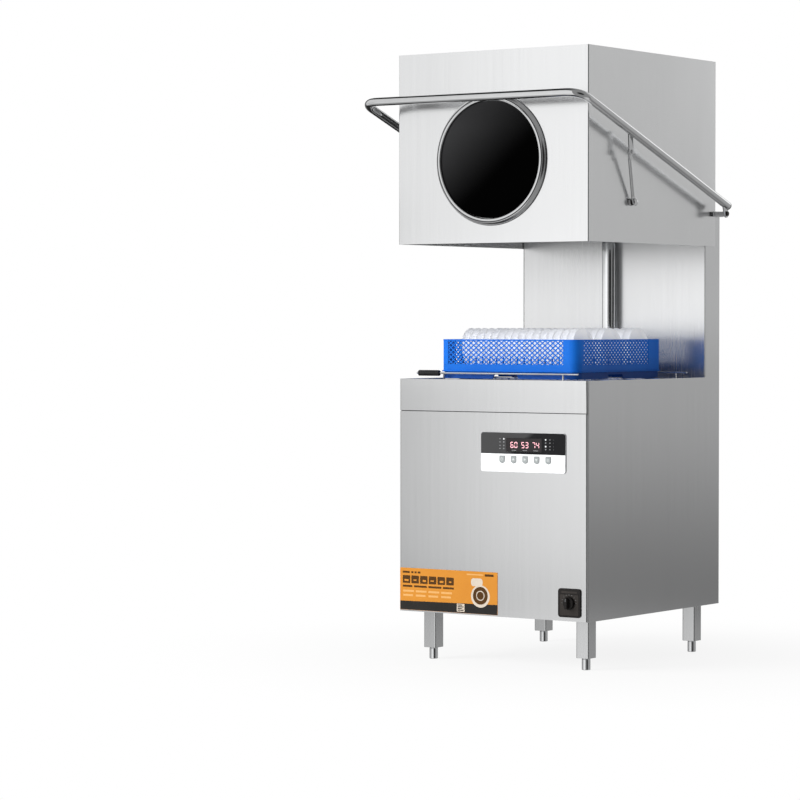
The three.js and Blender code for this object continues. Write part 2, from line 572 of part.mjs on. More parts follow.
function buildHandle() {
  const parts = [];
  const hollows = [];
  const pipe = (curve, steps) => {
    parts.push(tube(curve, TUBE_R, steps, 12));
    hollows.push(tube(curve, TUBE_R - TUBE_WALL, steps, 12));
  };
  for (const side of [-1, 1]) {
    const corner = at(side * ARM_X, BAR_Y, BAR_Z);
    const onBar = at(side * (ARM_X - BEND_R), BAR_Y, BAR_Z);
    const along = at(0, 1, -ARM_SLOPE).normalize();
    const onArm = corner.clone().addScaledVector(along, BEND_R);
    const end = at(side * ARM_X, ARM_END_Y, armZ(ARM_END_Y));
    const capStart = end.clone().addScaledVector(along, -3);
    pipe(bend(onBar, corner, onArm), 7);
    pipe(new THREE.LineCurve3(onArm.clone().addScaledVector(along, -0.5), capStart), 1);
    parts.push(tube(new THREE.LineCurve3(capStart.clone().addScaledVector(along, -0.5), end), TUBE_R, 1, 12));
    const drainY = ARM_END_Y - 50;
    hollows.push(cylinderZ(side * ARM_X, drainY, 2, armZ(drainY) - 18, armZ(drainY), 8));

    const lugX = side > 0 ? [LINK_X + LINK_T / 2 + GAP, 381] : [-381, -LINK_X - LINK_T / 2 - GAP];
    const lugTop = { y: LINK_TOP.y - 4, z: armZ(LINK_TOP.y) };
    parts.push(prismX(stadium(LINK_TOP, lugTop, 10), ...lugX, 4));
    const bolt = side > 0 ? [380, 386] : [-386, -380];
    parts.push(cylinderX(LINK_TOP.y, LINK_TOP.z, 6.5, ...bolt, 12));

    const eyeX = side > 0 ? [386, 392] : [-392, -386];
    parts.push(prismX(stadium(PIVOT, { y: PIVOT.y - 8, z: armZ(PIVOT.y) }, 12), ...eyeX, 4));
  }
  const barEnd = ARM_X - BEND_R + 0.5;
  pipe(new THREE.LineCurve3(at(-barEnd, BAR_Y, BAR_Z), at(barEnd, BAR_Y, BAR_Z)), 1);
  for (const side of [-1, 1]) {
    const [x0, x1] = side > 0 ? [370, 410] : [-410, -370];
    hollows.push(cylinderX(PIVOT.y, PIVOT.z, 5 + GAP, x0, x1, 14));
  }
  add('lift_handle', cut(join(...parts), ...hollows), 'chrome');
}

function buildLinkage() {
  for (const [word, side] of [['left', -1], ['right', 1]]) {
    const across = (near, far) => (side > 0 ? [near, far] : [-far, -near]);
    const hoodSide = HOOD_W / 2 + GAP;
    const flange = cylinderX(LINK_PIN.y, LINK_PIN.z, 9, ...across(hoodSide, hoodSide + 3), 14);
    const shaft = cylinderX(LINK_PIN.y, LINK_PIN.z, 4, ...across(hoodSide + 2, 358), 14);
    const lowNear = LINK_LOW_X - LINK_T / 2;
    const lowFar = LINK_LOW_X + LINK_T / 2;
    const head = cylinderX(LINK_PIN.y, LINK_PIN.z, 8, ...across(lowFar + GAP, 362), 12);
    const spacer = cylinderX(LINK_PIN.y, LINK_PIN.z, 6, ...across(hoodSide + 2, lowNear - GAP), 14);
    add(`link_pin_${word}`, join(flange, shaft, head, spacer), 'chrome');

    const alongY = LINK_TOP.y - LINK_PIN.y;
    const alongZ = LINK_TOP.z - LINK_PIN.z;
    const lowEye = { y: LINK_PIN.y + alongY * 0.12, z: LINK_PIN.z + alongZ * 0.12 };
    const topEye = { y: LINK_TOP.y - alongY * 0.12, z: LINK_TOP.z - alongZ * 0.12 };
    const foot = prismX(stadium(LINK_PIN, lowEye, 8), ...across(lowNear, lowFar), 4);
    const top = prismX(stadium(topEye, LINK_TOP, 8), ...across(LINK_X - LINK_T / 2, LINK_X + LINK_T / 2), 4);
    const shank = tube(new THREE.LineCurve3(at(side * LINK_LOW_X, lowEye.y, lowEye.z),
      at(side * (LINK_X - 3.2), topEye.y, topEye.z)), 5.5, 1, 10);
    const eye = cylinderX(LINK_PIN.y, LINK_PIN.z, 4 + GAP, ...across(345, 380), 14);
    add(`link_bar_${word}`, cut(join(foot, shank, top), eye), 'chrome');

    const outer = 352;
    const x = (value) => side * value;
    const strap = polygon([[x(300), BACK + GAP], [x(outer - 4), BACK + GAP], [x(outer - 4), 335],
      [x(outer), 335], [x(outer), BACK + GAP + 4], [x(300), BACK + GAP + 4]]);
    const bracket = prismZ(strap, PIVOT.z - 8, PIVOT.z + 8);
    const axle = cylinderX(PIVOT.y, PIVOT.z, 5, ...across(outer - 2, 395), 14);
    const shoulder = cylinderX(PIVOT.y, PIVOT.z, 7, ...across(outer - 2, 386 - GAP), 14);
    const nut = cylinderX(PIVOT.y, PIVOT.z, 8, ...across(392 + GAP, 397), 12);
    add(`pivot_bracket_${word}`, join(bracket, axle, shoulder, nut), 'steel');
  }
}

buildCabinet();
buildLegs();
buildTank();
buildTrack();
buildSpray();
buildRack();
buildMachinery();
buildControls();
buildHood();
buildHandle();
buildLinkage();

// Put the origin at the middle of the bounding box's bottom face.
const bounds = new THREE.Box3().setFromObject(model, true);
const centre = bounds.getCenter(new THREE.Vector3());
model.position.set(-centre.x, -centre.y, -bounds.min.z);
model.updateMatrixWorld(true);

export default model;
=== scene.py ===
import json
import math

import bmesh
import bpy
from mathutils import Matrix, Vector


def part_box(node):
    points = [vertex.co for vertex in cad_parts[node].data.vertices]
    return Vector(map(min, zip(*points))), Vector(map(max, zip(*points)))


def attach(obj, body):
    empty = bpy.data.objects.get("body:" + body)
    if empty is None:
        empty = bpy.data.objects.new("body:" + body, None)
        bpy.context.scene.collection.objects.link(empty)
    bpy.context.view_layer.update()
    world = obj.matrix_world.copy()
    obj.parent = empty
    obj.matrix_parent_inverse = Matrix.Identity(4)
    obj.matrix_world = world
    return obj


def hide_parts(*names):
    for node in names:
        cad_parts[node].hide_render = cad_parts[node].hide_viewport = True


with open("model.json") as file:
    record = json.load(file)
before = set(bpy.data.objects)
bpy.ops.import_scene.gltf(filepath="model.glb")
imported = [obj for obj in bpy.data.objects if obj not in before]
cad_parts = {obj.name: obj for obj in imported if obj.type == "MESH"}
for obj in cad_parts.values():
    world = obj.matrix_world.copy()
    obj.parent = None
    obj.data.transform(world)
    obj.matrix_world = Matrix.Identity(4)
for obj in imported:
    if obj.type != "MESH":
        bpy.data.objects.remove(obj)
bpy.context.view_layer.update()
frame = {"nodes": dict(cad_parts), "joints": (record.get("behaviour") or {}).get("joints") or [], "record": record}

NODES = frame["nodes"]
scene = bpy.context.scene
MM = 0.001


# ---- places, in millimetres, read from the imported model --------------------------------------
def mm(node):
    """Lowest and highest corner of a CAD node, in millimetres."""
    low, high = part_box(node)
    return [v / MM for v in low] + [v / MM for v in high]


HOOD_SIDE = mm("hood_shell")[3]
BACK = mm("rear_panel")[4]
BASE = mm("side_panel_right")[2]


# ---- mesh building ---------------------------------------------------------------------------
def place(axis, u, v, h):
    """A point from two section coordinates and a height along the axis."""
    if axis == "X":
        return (h, u, v)
    if axis == "Y":
        return (u, h, v)
    return (u, v, h)


def rrect(u0, u1, v0, v1, r, steps=6):
    """Outline of a rectangle with round corners."""
    points = []
    corners = ((u1 - r, v0 + r, -90), (u1 - r, v1 - r, 0), (u0 + r, v1 - r, 90), (u0 + r, v0 + r, 180))
    for cu, cv, start in corners:
        for i in range(steps + 1):
            a = math.radians(start + 90 * i / steps)
            points.append((cu + r * math.cos(a), cv + r * math.sin(a)))
    return points


def circle(cu, cv, r, n=32):
    """Outline of a circle."""
    angles = [2 * math.pi * i / n for i in range(n)]
    return [(cu + r * math.cos(a), cv + r * math.sin(a)) for a in angles]


def stadium(a, b, r, steps=12):
    """Outline of a bar with round ends between two points."""
    along = math.atan2(b[1] - a[1], b[0] - a[0])
    points = []
    for (cu, cv), start in ((b, along - math.pi / 2), (a, along + math.pi / 2)):
        for i in range(steps + 1):
            t = start + math.pi * i / steps
            points.append((cu + r * math.cos(t), cv + r * math.sin(t)))
    return points


def outward(side, profile):
    """A turned profile with its heights measured outwards on the left (-1) or right (1) side."""
    return [(r, side * h) for r, h in profile]


def bridge(part, rings, n):
    """Joins neighbouring rings of n points, where a ring may also be a single point."""
    for one, two in zip(rings, rings[1:]):
        for i in range(n):
            j = (i + 1) % n
            if len(one) == 1 and len(two) > 1:
                part.faces.new((one[0], two[i], two[j]))
            elif len(two) == 1 and len(one) > 1:
                part.faces.new((one[i], one[j], two[0]))
            elif len(one) > 1:
                part.faces.new((one[i], one[j], two[j], two[i]))


class Shape:
    """Several closed solids gathered into one mesh, in millimetres."""

    def __init__(self):
        self.bm = bmesh.new()

    def take(self, part, mat):
        bmesh.ops.recalc_face_normals(part, faces=part.faces[:])
        for face in part.faces:
            face.material_index = mat
        mesh = bpy.data.meshes.new("part")
        part.to_mesh(mesh)
        part.free()
        self.bm.from_mesh(mesh)
        bpy.data.meshes.remove(mesh)
        return self

    def bevel(self, part, size, steps):
        edges = [e for e in part.edges if e.is_manifold and e.calc_face_angle(0) > 0.6]
        if size and edges:
            bmesh.ops.bevel(part, geom=edges, offset=size, segments=steps, profile=0.5, affect="EDGES")

    def box(self, x0, x1, y0, y1, z0, z1, bevel=0.0, steps=2, mat=0):
        part = bmesh.new()
        bmesh.ops.create_cube(part, size=1)
        for v in part.verts:
            v.co = (x1 if v.co.x > 0 else x0, y1 if v.co.y > 0 else y0, z1 if v.co.z > 0 else z0)
        self.bevel(part, bevel, steps)
        return self.take(part, mat)

    def prism(self, outline, axis, a, b, bevel=0.0, steps=2, holes=(), mat=0):
        """An outline pushed along an axis from a to b, with holes through it."""
        part = bmesh.new()
        loops = []
        for loop in (outline, *holes):
            verts = [part.verts.new(place(axis, u, v, a)) for u, v in loop]
            loops.append([part.edges.new(ends) for ends in zip(verts, verts[1:] + verts[:1])])
        if holes:
            bmesh.ops.triangle_fill(part, use_beauty=True, edges=[e for loop in loops for e in loop])
        else:
            part.faces.new(part.verts[:])
        made = bmesh.ops.extrude_face_region(part, geom=part.faces[:], use_keep_orig=True)
        shift = Vector(place(axis, 0, 0, b - a))
        for item in made["geom"]:
            if isinstance(item, bmesh.types.BMVert):
                item.co += shift
        bmesh.ops.recalc_face_normals(part, faces=part.faces[:])
        self.bevel(part, bevel, steps)
        return self.take(part, mat)

    def turn(self, profile, axis, cu, cv, n=48, mat=0):
        """A profile of (radius, height) pairs turned about an axis through cu, cv."""
        part = bmesh.new()
        rings = []
        for r, h in profile:
            if r == 0:
                rings.append([part.verts.new(place(axis, cu, cv, h))])
            else:
                rings.append([part.verts.new(place(axis, u, v, h)) for u, v in circle(cu, cv, r, n)])
        if profile[0] == profile[-1]:
            for v in rings.pop():
                part.verts.remove(v)
            rings.append(rings[0])
        bridge(part, rings, n)
        return self.take(part, mat)

    def sweep(self, path, section, mat=0):
        """A section outline carried along a path of points."""
        part = bmesh.new()
        pts = [Vector(p) for p in path]
        last = len(pts) - 1
        rings = []
        side = None
        for i, p in enumerate(pts):
            ahead = (pts[min(i + 1, last)] - pts[max(i - 1, 0)]).normalized()
            if side is None:
                start = Vector((0, 0, 1)) if abs(ahead.z) < 0.9 else Vector((0, 1, 0))
                side = ahead.cross(start).normalized()
            side = (side - ahead * side.dot(ahead)).normalized()
            up = side.cross(ahead)
            rings.append([part.verts.new(p + side * u + up * v) for u, v in section])
        bridge(part, rings, len(section))
        part.faces.new(rings[0])
        part.faces.new(rings[-1])
        return self.take(part, mat)

    def pair(self, side, cu, cv, start):
        """Adds one side of a square basket twice, on opposite sides of its middle."""
        mesh = bpy.data.meshes.new("side")
        side.bm.to_mesh(mesh)
        side.bm.free()
        for quarter in (start, start + 2):
            copy = mesh.copy()
            copy.transform(Matrix.Translation((cu, cv, 0)) @ Matrix.Rotation(quarter * math.pi / 2, 4, "Z"))
            self.bm.from_mesh(copy)
            bpy.data.meshes.remove(copy)
        bpy.data.meshes.remove(mesh)

    def put(self, name, body, mats, replaces=(), slot="first", angle=32, flat=True):
        """Makes the piece, hangs it on the body it rides on, hides the CAD parts it replaces and gives it its
        materials.

        The materials are named in one string. The slot argument is not used.
        """
        mesh = bpy.data.meshes.new(name)
        for v in self.bm.verts:
            v.co *= MM
        self.bm.to_mesh(mesh)
        self.bm.free()
        for finish in mats.split():
            mesh.materials.append(M[finish])
        mesh.shade_smooth()
        mesh.set_sharp_from_angle(angle=math.radians(angle))
        piece = bpy.data.objects.new(name, mesh)
        scene.collection.objects.link(piece)
        if flat:
            piece.modifiers.new("normals", "WEIGHTED_NORMAL").keep_sharp = True
        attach(piece, body)
        if replaces:
            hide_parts(*replaces)


def turned(name, body, finish, profile, axis, cu, cv, n, replaces=(), flat=True):
    """A piece that is one turned profile of one material."""
    shape = Shape()
    shape.turn(profile, axis, cu, cv, n)
    shape.put(name, body, finish, replaces, flat=flat)


def curve3(a, b, c, steps):
    """Points of a quadratic bend from a to c that leans towards b."""
    a, b, c = Vector(a), Vector(b), Vector(c)
    where = [i / steps for i in range(steps + 1)]
    return [a * (1 - t) ** 2 + b * 2 * t * (1 - t) + c * t * t for t in where]


# ---- materials -------------------------------------------------------------------------------
def math_node(tree, operation, *args):
    """A Math node, whose inputs are numbers or other nodes' outputs."""
    node = tree.nodes.new("ShaderNodeMath")
    node.operation = operation
    for socket, value in zip(node.inputs, args):
        if isinstance(value, (int, float)):
            socket.default_value = value
        else:
            tree.links.new(value, socket)
    return node.outputs[0]


def remap(tree, value, low, high, to_low=0.0, to_high=1.0, kind="LINEAR"):
    """A Map Range node from low..high to to_low..to_high."""
    span = tree.nodes.new("ShaderNodeMapRange")
    span.interpolation_type = kind
    limits = {"From Min": low, "From Max": high, "To Min": to_low, "To Max": to_high}
    for key, limit in limits.items():
        span.inputs[key].default_value = limit
    tree.links.new(value, span.inputs["Value"])
    return span.outputs["Result"]


def xyz(tree, vector):
    """The X, Y and Z outputs of a vector."""
    split = tree.nodes.new("ShaderNodeSeparateXYZ")
    tree.links.new(vector, split.inputs["Vector"])
    return split.outputs


class Paint:
    """A Principled material whose colour, roughness and bump come from procedural nodes."""

    def __init__(self, name, **values):
        self.mat = bpy.data.materials.new(name)
        self.mat.use_nodes = True
        self.tree = self.mat.node_tree
        self.bsdf = self.tree.nodes["Principled BSDF"]
        self.coords = self.tree.nodes.new("ShaderNodeTexCoord")
        for key, value in values.items():
            self.bsdf.inputs[key.replace("_", " ")].default_value = value

    def node(self, kind):
        return self.tree.nodes.new(kind)

    def link(self, a, b):
        self.tree.links.new(a, b)

    def noise(self, scale, detail=3.0, rough=0.5):
        mapping = self.node("ShaderNodeMapping")
        mapping.inputs["Scale"].default_value = scale if isinstance(scale, tuple) else (scale,) * 3
        self.link(self.coords.outputs["Object"], mapping.inputs["Vector"])
        tex = self.node("ShaderNodeTexNoise")
        tex.inputs["Scale"].default_value = 1
        tex.inputs["Detail"].default_value = detail
        tex.inputs["Roughness"].default_value = rough
        self.link(mapping.outputs["Vector"], tex.inputs["Vector"])
        return tex.outputs["Fac"]

    def blend(self, *parts):
        """A weighted sum of (output, weight) pairs."""
        total = 0
        for out, weight in parts:
            total = math_node(self.tree, "MULTIPLY_ADD", out, weight, total)
        return total

    def colour(self, out, dark, light, low=0.3, high=0.7):
        ramp = self.node("ShaderNodeValToRGB")
        for mark, position, tone in zip(ramp.color_ramp.elements, (low, high), (dark, light)):
            mark.position = position
            mark.color = (*tone, 1)
        self.link(out, ramp.inputs["Fac"])
        self.link(ramp.outputs["Color"], self.bsdf.inputs["Base Color"])
        return self

    def rough(self, out, low, high):
        self.link(remap(self.tree, out, 0.3, 0.7, low, high), self.bsdf.inputs["Roughness"])
        return self

    def bump(self, out, strength, distance):
        made = self.node("ShaderNodeBump")
        made.inputs["Strength"].default_value = strength
        made.inputs["Distance"].default_value = distance
        self.link(out, made.inputs["Height"])
        self.link(made.outputs["Normal"], self.bsdf.inputs["Normal"])
        return self


def steel(name, tone, rough, grain=(900, 900, 7), strength=0.02):
    """Satin stainless sheet: fine directional grain, broad cloudy variation and faint smudges."""
    p = Paint(name, Metallic=1.0, Anisotropic=0.3)
    fine = p.noise(grain, 2.0, 0.6)
    wide = p.noise(tuple(g / 9 for g in grain), 2.0, 0.5)
    cloud = p.noise((3.1, 3.1, 1.7), 3.0, 0.55)
    mixed = p.blend((fine, 0.5), (wide, 0.25), (cloud, 0.25))
    low = tuple(c * 0.965 for c in tone)
    high = tuple(min(c * 1.035, 1) for c in tone)
    p.colour(mixed, low, high)
    p.rough(p.blend((fine, 0.45), (cloud, 0.55)), rough - 0.02, rough + 0.03)
    p.bump(fine, strength, 0.0002)
    return p.mat


def chrome(name, tone, rough):
    """Polished metal with a faint haze."""
    p = Paint(name, Metallic=1.0)
    haze = p.noise(38, 4.0, 0.6)
    polish = p.noise((500, 500, 500), 2.0)
    p.colour(haze, tuple(c * 0.95 for c in tone), tone)
    p.rough(haze, rough * 0.7, rough * 1.7)
    p.bump(polish, 0.02, 0.0001)
    return p.mat


def plastic(name, dark, light, rough=(0.32, 0.45), grain=600, strength=0.06, specular=0.5):
    """Moulded plastic, rubber or printed film: faint clouds of colour and a fine grain."""
    p = Paint(name, Specular_IOR_Level=specular)
    cloud = p.noise(9, 4.0, 0.6)
    fine = p.noise(grain, 2.0)
    p.colour(p.blend((cloud, 0.7), (fine, 0.3)), dark, light)
    p.rough(p.blend((cloud, 0.5), (fine, 0.5)), *rough)
    p.bump(fine, strength, 0.0002)
    return p.mat


def glow(name, colour, strength):
    """A lit element of a display."""
    p = Paint(name, Emission_Strength=strength, Roughness=0.4)
    p.bsdf.inputs["Emission Color"].default_value = (*colour, 1)
    speck = p.noise(1500, 1.0)
    p.colour(speck, tuple(c * 0.5 for c in colour), tuple(c * 0.7 for c in colour))
    return p.mat


def glass(name):
    """Black glazing with a painted reflection: a little lighter towards its upper left."""
    p = Paint(name, Specular_IOR_Level=0.01)
    at = xyz(p.tree, p.coords.outputs["Object"])
    # painted reflection: the base colour lightens towards the upper left
    shade = p.blend((at["X"], -1.5), (at["Z"], 1.7), (p.noise(5), 0.06))
    fade = remap(p.tree, shade, 2.50, 3.16, kind="SMOOTHSTEP")
    p.colour(fade, (0.0, 0.0, 0.0), (0.027, 0.027, 0.028), 0.0, 1.0)
    p.rough(p.noise(60, 3), 0.16, 0.24)
    return p.mat


def gloss_black(name):
    """Black gloss film with a painted reflection: a lighter left part and a darker right part that meet along a
    slanting line.
    """
    p = Paint(name, Specular_IOR_Level=0.12)
    at = xyz(p.tree, p.coords.outputs["Object"])
    # painted reflection: the slanting line is a reflected edge painted into the base colour
    slant = p.blend((at["X"], 1.0), (at["Z"], -1.31))
    edge = remap(p.tree, slant, -0.79, -0.768)
    shade = p.blend((edge, 0.94), (p.noise(40), 0.06))
    p.colour(shade, (0.050, 0.050, 0.051), (0.008, 0.008, 0.009), 0.0, 1.0)
    p.rough(p.noise(60, 3), 0.1, 0.2)
    return p.mat


def porcelain(name):
    """White glazed ware with a faint bluish white glow, painted light that brightens the plates."""
    # the emission is painted light: the plates glow though they are no lamp
    p = Paint(name, Coat_Weight=0.5, Coat_Roughness=0.06, Emission_Strength=0.24)
    p.bsdf.inputs["Emission Color"].default_value = (0.93, 0.95, 1.0, 1)
    glaze = p.noise(30, 3)
    p.colour(glaze, (0.86, 0.87, 0.90), (0.93, 0.935, 0.95))
    p.rough(glaze, 0.18, 0.3)
    p.bump(glaze, 0.04, 0.0004)
    return p.mat


STEEL_TONE = (0.80, 0.805, 0.81)
CHROME_TONE = (0.84, 0.85, 0.86)
M = {"window_glass": glass("window_glass"), "fascia_black": gloss_black("fascia_black"),
     "porcelain": porcelain("porcelain")}


def finishes(make, **rows):
    """Makes one material from each named row of settings."""
    for name, row in rows.items():
        M[name] = make(name, *row)


# tone, roughness, grain
finishes(
    steel,
    side_steel=((0.76, 0.765, 0.77), 0.21),
    front_steel=(STEEL_TONE, 0.22),
    plain_steel=((0.70, 0.705, 0.71), 0.28, (30, 800, 800)),
    splash_steel=((0.84, 0.845, 0.85), 0.25),
    hood_steel=((0.82, 0.825, 0.83), 0.19),
    leg_steel=((0.75, 0.755, 0.76), 0.26),
    tank_steel=((0.70, 0.71, 0.72), 0.24, (700, 9, 700)),
    arm_steel=((0.74, 0.75, 0.76), 0.22, (600, 8, 600)),
    boiler_steel=((0.66, 0.67, 0.68), 0.3, (10, 10, 700)),
)
# tone, roughness
finishes(
    chrome,
    foot_chrome=(CHROME_TONE, 0.12),
    rod_steel=((0.80, 0.81, 0.82), 0.10),
    riser_chrome=(CHROME_TONE, 0.09),
    handle_chrome=((0.64, 0.645, 0.65), 0.06),
    ring_chrome=((0.66, 0.665, 0.67), 0.12),
    inlet_brass=((0.72, 0.53, 0.26), 0.2),
)
# dark and light tone, roughness range, grain, depth of the grain, specular level
finishes(
    plastic,
    black_rubber=((0.012, 0.012, 0.013), (0.03, 0.03, 0.032), (0.55, 0.75)),
    rack_blue=((0.002, 0.105, 0.50), (0.004, 0.140, 0.60), (0.36, 0.48), 350, 0.05, 0.14),
    # the next row is a darker copy of the rack blue: painted shade for the skirt under the lip
    rack_deep=((0.002, 0.050, 0.28), (0.005, 0.080, 0.38), (0.35, 0.48), 350, 0.05, 0.2),
    white_plastic=((0.75, 0.75, 0.74), (0.86, 0.86, 0.85)),
    fascia_white=((0.84, 0.85, 0.86), (0.92, 0.93, 0.94), (0.22, 0.32), 900, 0.02),
    fascia_rim=((0.42, 0.43, 0.44), (0.52, 0.53, 0.54), (0.25, 0.4), 700, 0.03),
    circuit_board=((0.03, 0.14, 0.05), (0.05, 0.22, 0.09)),
    button_grey=((0.25, 0.27, 0.27), (0.31, 0.33, 0.33), (0.4, 0.55)),
    button_mark=((0.48, 0.50, 0.50), (0.58, 0.60, 0.60), (0.35, 0.5)),
    black_plastic=((0.006, 0.005, 0.005), (0.014, 0.012, 0.011), (0.32, 0.5), 500, 0.12, 0.22),
    dark_grey=((0.020, 0.017, 0.015), (0.034, 0.029, 0.026), (0.35, 0.5), 500, 0.1, 0.22),
    machine_grey=((0.10, 0.11, 0.12), (0.15, 0.165, 0.18), (0.45, 0.6), 400, 0.2),
    hose_rubber=((0.02, 0.02, 0.02), (0.045, 0.045, 0.045), (0.6, 0.75)),
    drain_plastic=((0.22, 0.23, 0.24), (0.32, 0.33, 0.34)),
    label_orange=((0.50, 0.190, 0.020), (0.55, 0.225, 0.028), (0.28, 0.4), 900, 0.02, 0.2),
    label_black=((0.013, 0.012, 0.011), (0.021, 0.019, 0.017), (0.3, 0.42), 900, 0.02, 0.2),
    label_brown=((0.05, 0.020, 0.003), (0.08, 0.034, 0.006), (0.3, 0.42), 900, 0.02, 0.2),
    label_cream=((0.50, 0.43, 0.35), (0.58, 0.50, 0.41), (0.3, 0.42), 900, 0.02),
    label_pale=((0.60, 0.31, 0.085), (0.65, 0.35, 0.11), (0.3, 0.42), 900, 0.02),
    led_dim=((0.14, 0.145, 0.15), (0.2, 0.205, 0.21)),
    display_glass=((0.006, 0.004, 0.005), (0.012, 0.008, 0.009), (0.05, 0.1), 900, 0.01),
)
# colour, strength
finishes(
    glow,
    led_red=((1.0, 0.50, 0.56), 0.95),
    led_white=((0.85, 0.87, 0.88), 0.35),
)

# ---- carried-over CAD nodes: each keeps its shape, with softened edges and its own finish ----
SLOT_OF = {row["node"]: row["material_slot"] for row in frame["record"]["subparts"]}
for node_name, node in NODES.items():
    mesh = node.data
    finish = M.get(SLOT_OF[node_name], M["fascia_white"])
    if mesh.materials:
        mesh.materials[0] = finish
    else:
        mesh.materials.append(finish)
    weld = node.modifiers.new("weld", "WELD")
    weld.merge_threshold = 0.00002
    soft = node.modifiers.new("edges", "BEVEL")
    soft.width = 0.0006
    soft.segments = 2
    soft.limit_method = "ANGLE"
    soft.angle_limit = math.radians(50)
    soft.use_clamp_overlap = True
    soft.harden_normals = True
    node.modifiers.new("normals", "WEIGHTED_NORMAL").keep_sharp = True
    if "custom_normal" in mesh.attributes:
        mesh.attributes.remove(mesh.attributes["custom_normal"])
    mesh.shade_smooth()
    mesh.set_sharp_from_angle(angle=math.radians(34))

# ---- window ----------------------------------------------------------------------------------
RX0, RY0, RZ0, RX1, RY1, RZ1 = mm("window_ring")
WIN = ("Y", (RX0 + RX1) / 2, (RZ0 + RZ1) / 2)
RING_R = (RX1 - RX0) / 2
GLASS_R = RING_R - 20.4
crest = [(RING_R, RY1), (RING_R, RY0 + 12.5), (RING_R - 1, RY0 + 9.8), (RING_R - 3.2, RY0 + 6.4),
         (RING_R - 6.2, RY0 + 3.4), (RING_R - 9.6, RY0 + 1.3), (RING_R - 12.6, RY0 + 0.3), (RING_R - 15, RY0),
         (RING_R - 17, RY0 + 0.5), (RING_R - 18.6, RY0 + 2), (RING_R - 19.6, RY0 + 4.6)]
crest += [(RING_R - 19.6, RY0 + 12), (RING_R - 28, RY0 + 12), (RING_R - 28, RY1), (RING_R, RY1)]
turned("window_ring_turned", "hood", "ring_chrome", crest, *WIN, 128, ["window_ring"], flat=False)
bead = [(RING_R - 8.4, RY0 + 1.2), (RING_R - 11.2, RY0 + 0.2), (RING_R - 11.2, RY0 + 3),
        (RING_R - 8.4, RY0 + 3), (RING_R - 8.4, RY0 + 1.2)]
turned("window_bead", "hood", "black_rubber", bead, *WIN, 128, flat=False)
dome = [(GLASS_R * i / 10, RY0 + 3 + 4.4 * (i / 10) ** 2) for i in range(11)]
dome += [(GLASS_R, RY0 + 11.4), (0, RY0 + 11.4)]
turned("window_pane", "hood", "window_glass", dome, *WIN, 96, ["window_glass"], flat=False)
gasket = [(RING_R + 1.6, RY1 + 0.2), (RING_R + 1.2, RY1 - 1.2), (RING_R + 0.1, RY1 - 1.8),
          (RING_R - 1, RY1 - 1.4), (RING_R - 1, RY1 + 0.2), (RING_R + 1.6, RY1 + 0.2)]
turned("window_gasket", "hood", "black_rubber", gasket, *WIN, 96)

# ---- lift handle -----------------------------------------------------------------------------
_, KY0, _, KX1, _, KZ1 = mm("lift_handle")
TUBE_R = 12.5
ARM_X = KX1 - TUBE_R
BAR_Y = KY0 + TUBE_R
BAR_Z = KZ1 - TUBE_R
SLOPE = 0.3497
BEND = 55


def joint_at(name):
    """A joint's place in millimetres."""
    return [v / MM for v in next(j for j in frame["joints"] if j["name"] == name)["pos_m"]]


_, PIVOT_Y, PIVOT_Z = joint_at("handle_swing")
LINK_X, PIN_Y, PIN_Z = joint_at("link_right_swing")
ARM_END = PIVOT_Y + 11
LINK_TOP_X = mm("link_bar_right")[3] - 2.5
LINK_TOP_Y = mm("link_bar_right")[1] + 8
LINK_TOP_Z = mm("link_bar_right")[5] - 8
LUG_OUT, EYE_IN, EYE_OUT = 381, 386, 392


def arm_z(y):
    return BAR_Z - SLOPE * (y - BAR_Y)


arm_length = math.hypot(1, SLOPE)
bend_y, bend_z = BEND / arm_length, -BEND * SLOPE / arm_length
path = []
for side in (-1, 1):
    corner = (side * ARM_X, BAR_Y, BAR_Z)
    on_bar = (side * (ARM_X - BEND), BAR_Y, BAR_Z)
    on_arm = (side * ARM_X, BAR_Y + bend_y, BAR_Z + bend_z)
    end = (side * ARM_X, ARM_END - 2, arm_z(ARM_END - 2))
    run = [end, *curve3(on_arm, corner, on_bar, 18)]
    path += run if side < 0 else run[::-1]
handle = Shape()
handle.sweep(path, circle(0, 0, TUBE_R, 40))
for side in (-1, 1):
    near = LINK_TOP_X + 2.9
    lug = stadium((LINK_TOP_Y, LINK_TOP_Z), (LINK_TOP_Y - 4, arm_z(LINK_TOP_Y)), 10)
    handle.prism(lug, "X", side * near, side * LUG_OUT, 0.8, 2)
    stud = [(0, 386), (5.4, 386), (6.5, 385), (6.5, 380), (0, 380)]
    handle.turn(outward(side, stud), "X", LINK_TOP_Y, LINK_TOP_Z, 24)
    eye = stadium((PIVOT_Y, PIVOT_Z), (PIVOT_Y - 8, arm_z(PIVOT_Y)), 12)
    handle.prism(eye, "X", side * EYE_IN, side * EYE_OUT, 0.8, 2, holes=[circle(PIVOT_Y, PIVOT_Z, 5.6, 24)])
handle.put("lift_handle_tube", "handle", "handle_chrome", ["lift_handle"], flat=False)
SIDES = (("left", -1), ("right", 1))
for word, side in SIDES:
    plug = Shape()
    back = Vector((0, 1, -SLOPE)).normalized()
    start = Vector((side * ARM_X, ARM_END - 4, arm_z(ARM_END - 4)))
    for radius, near, far in ((TUBE_R + 0.2, 0, 3.2), (TUBE_R - 1.5, 3.2, 4.2)):
        plug.sweep([start + back * near, start + back * far], circle(0, 0, radius, 32))
    plug.put(f"handle_end_{word}", "handle", "black_plastic", slot=None)

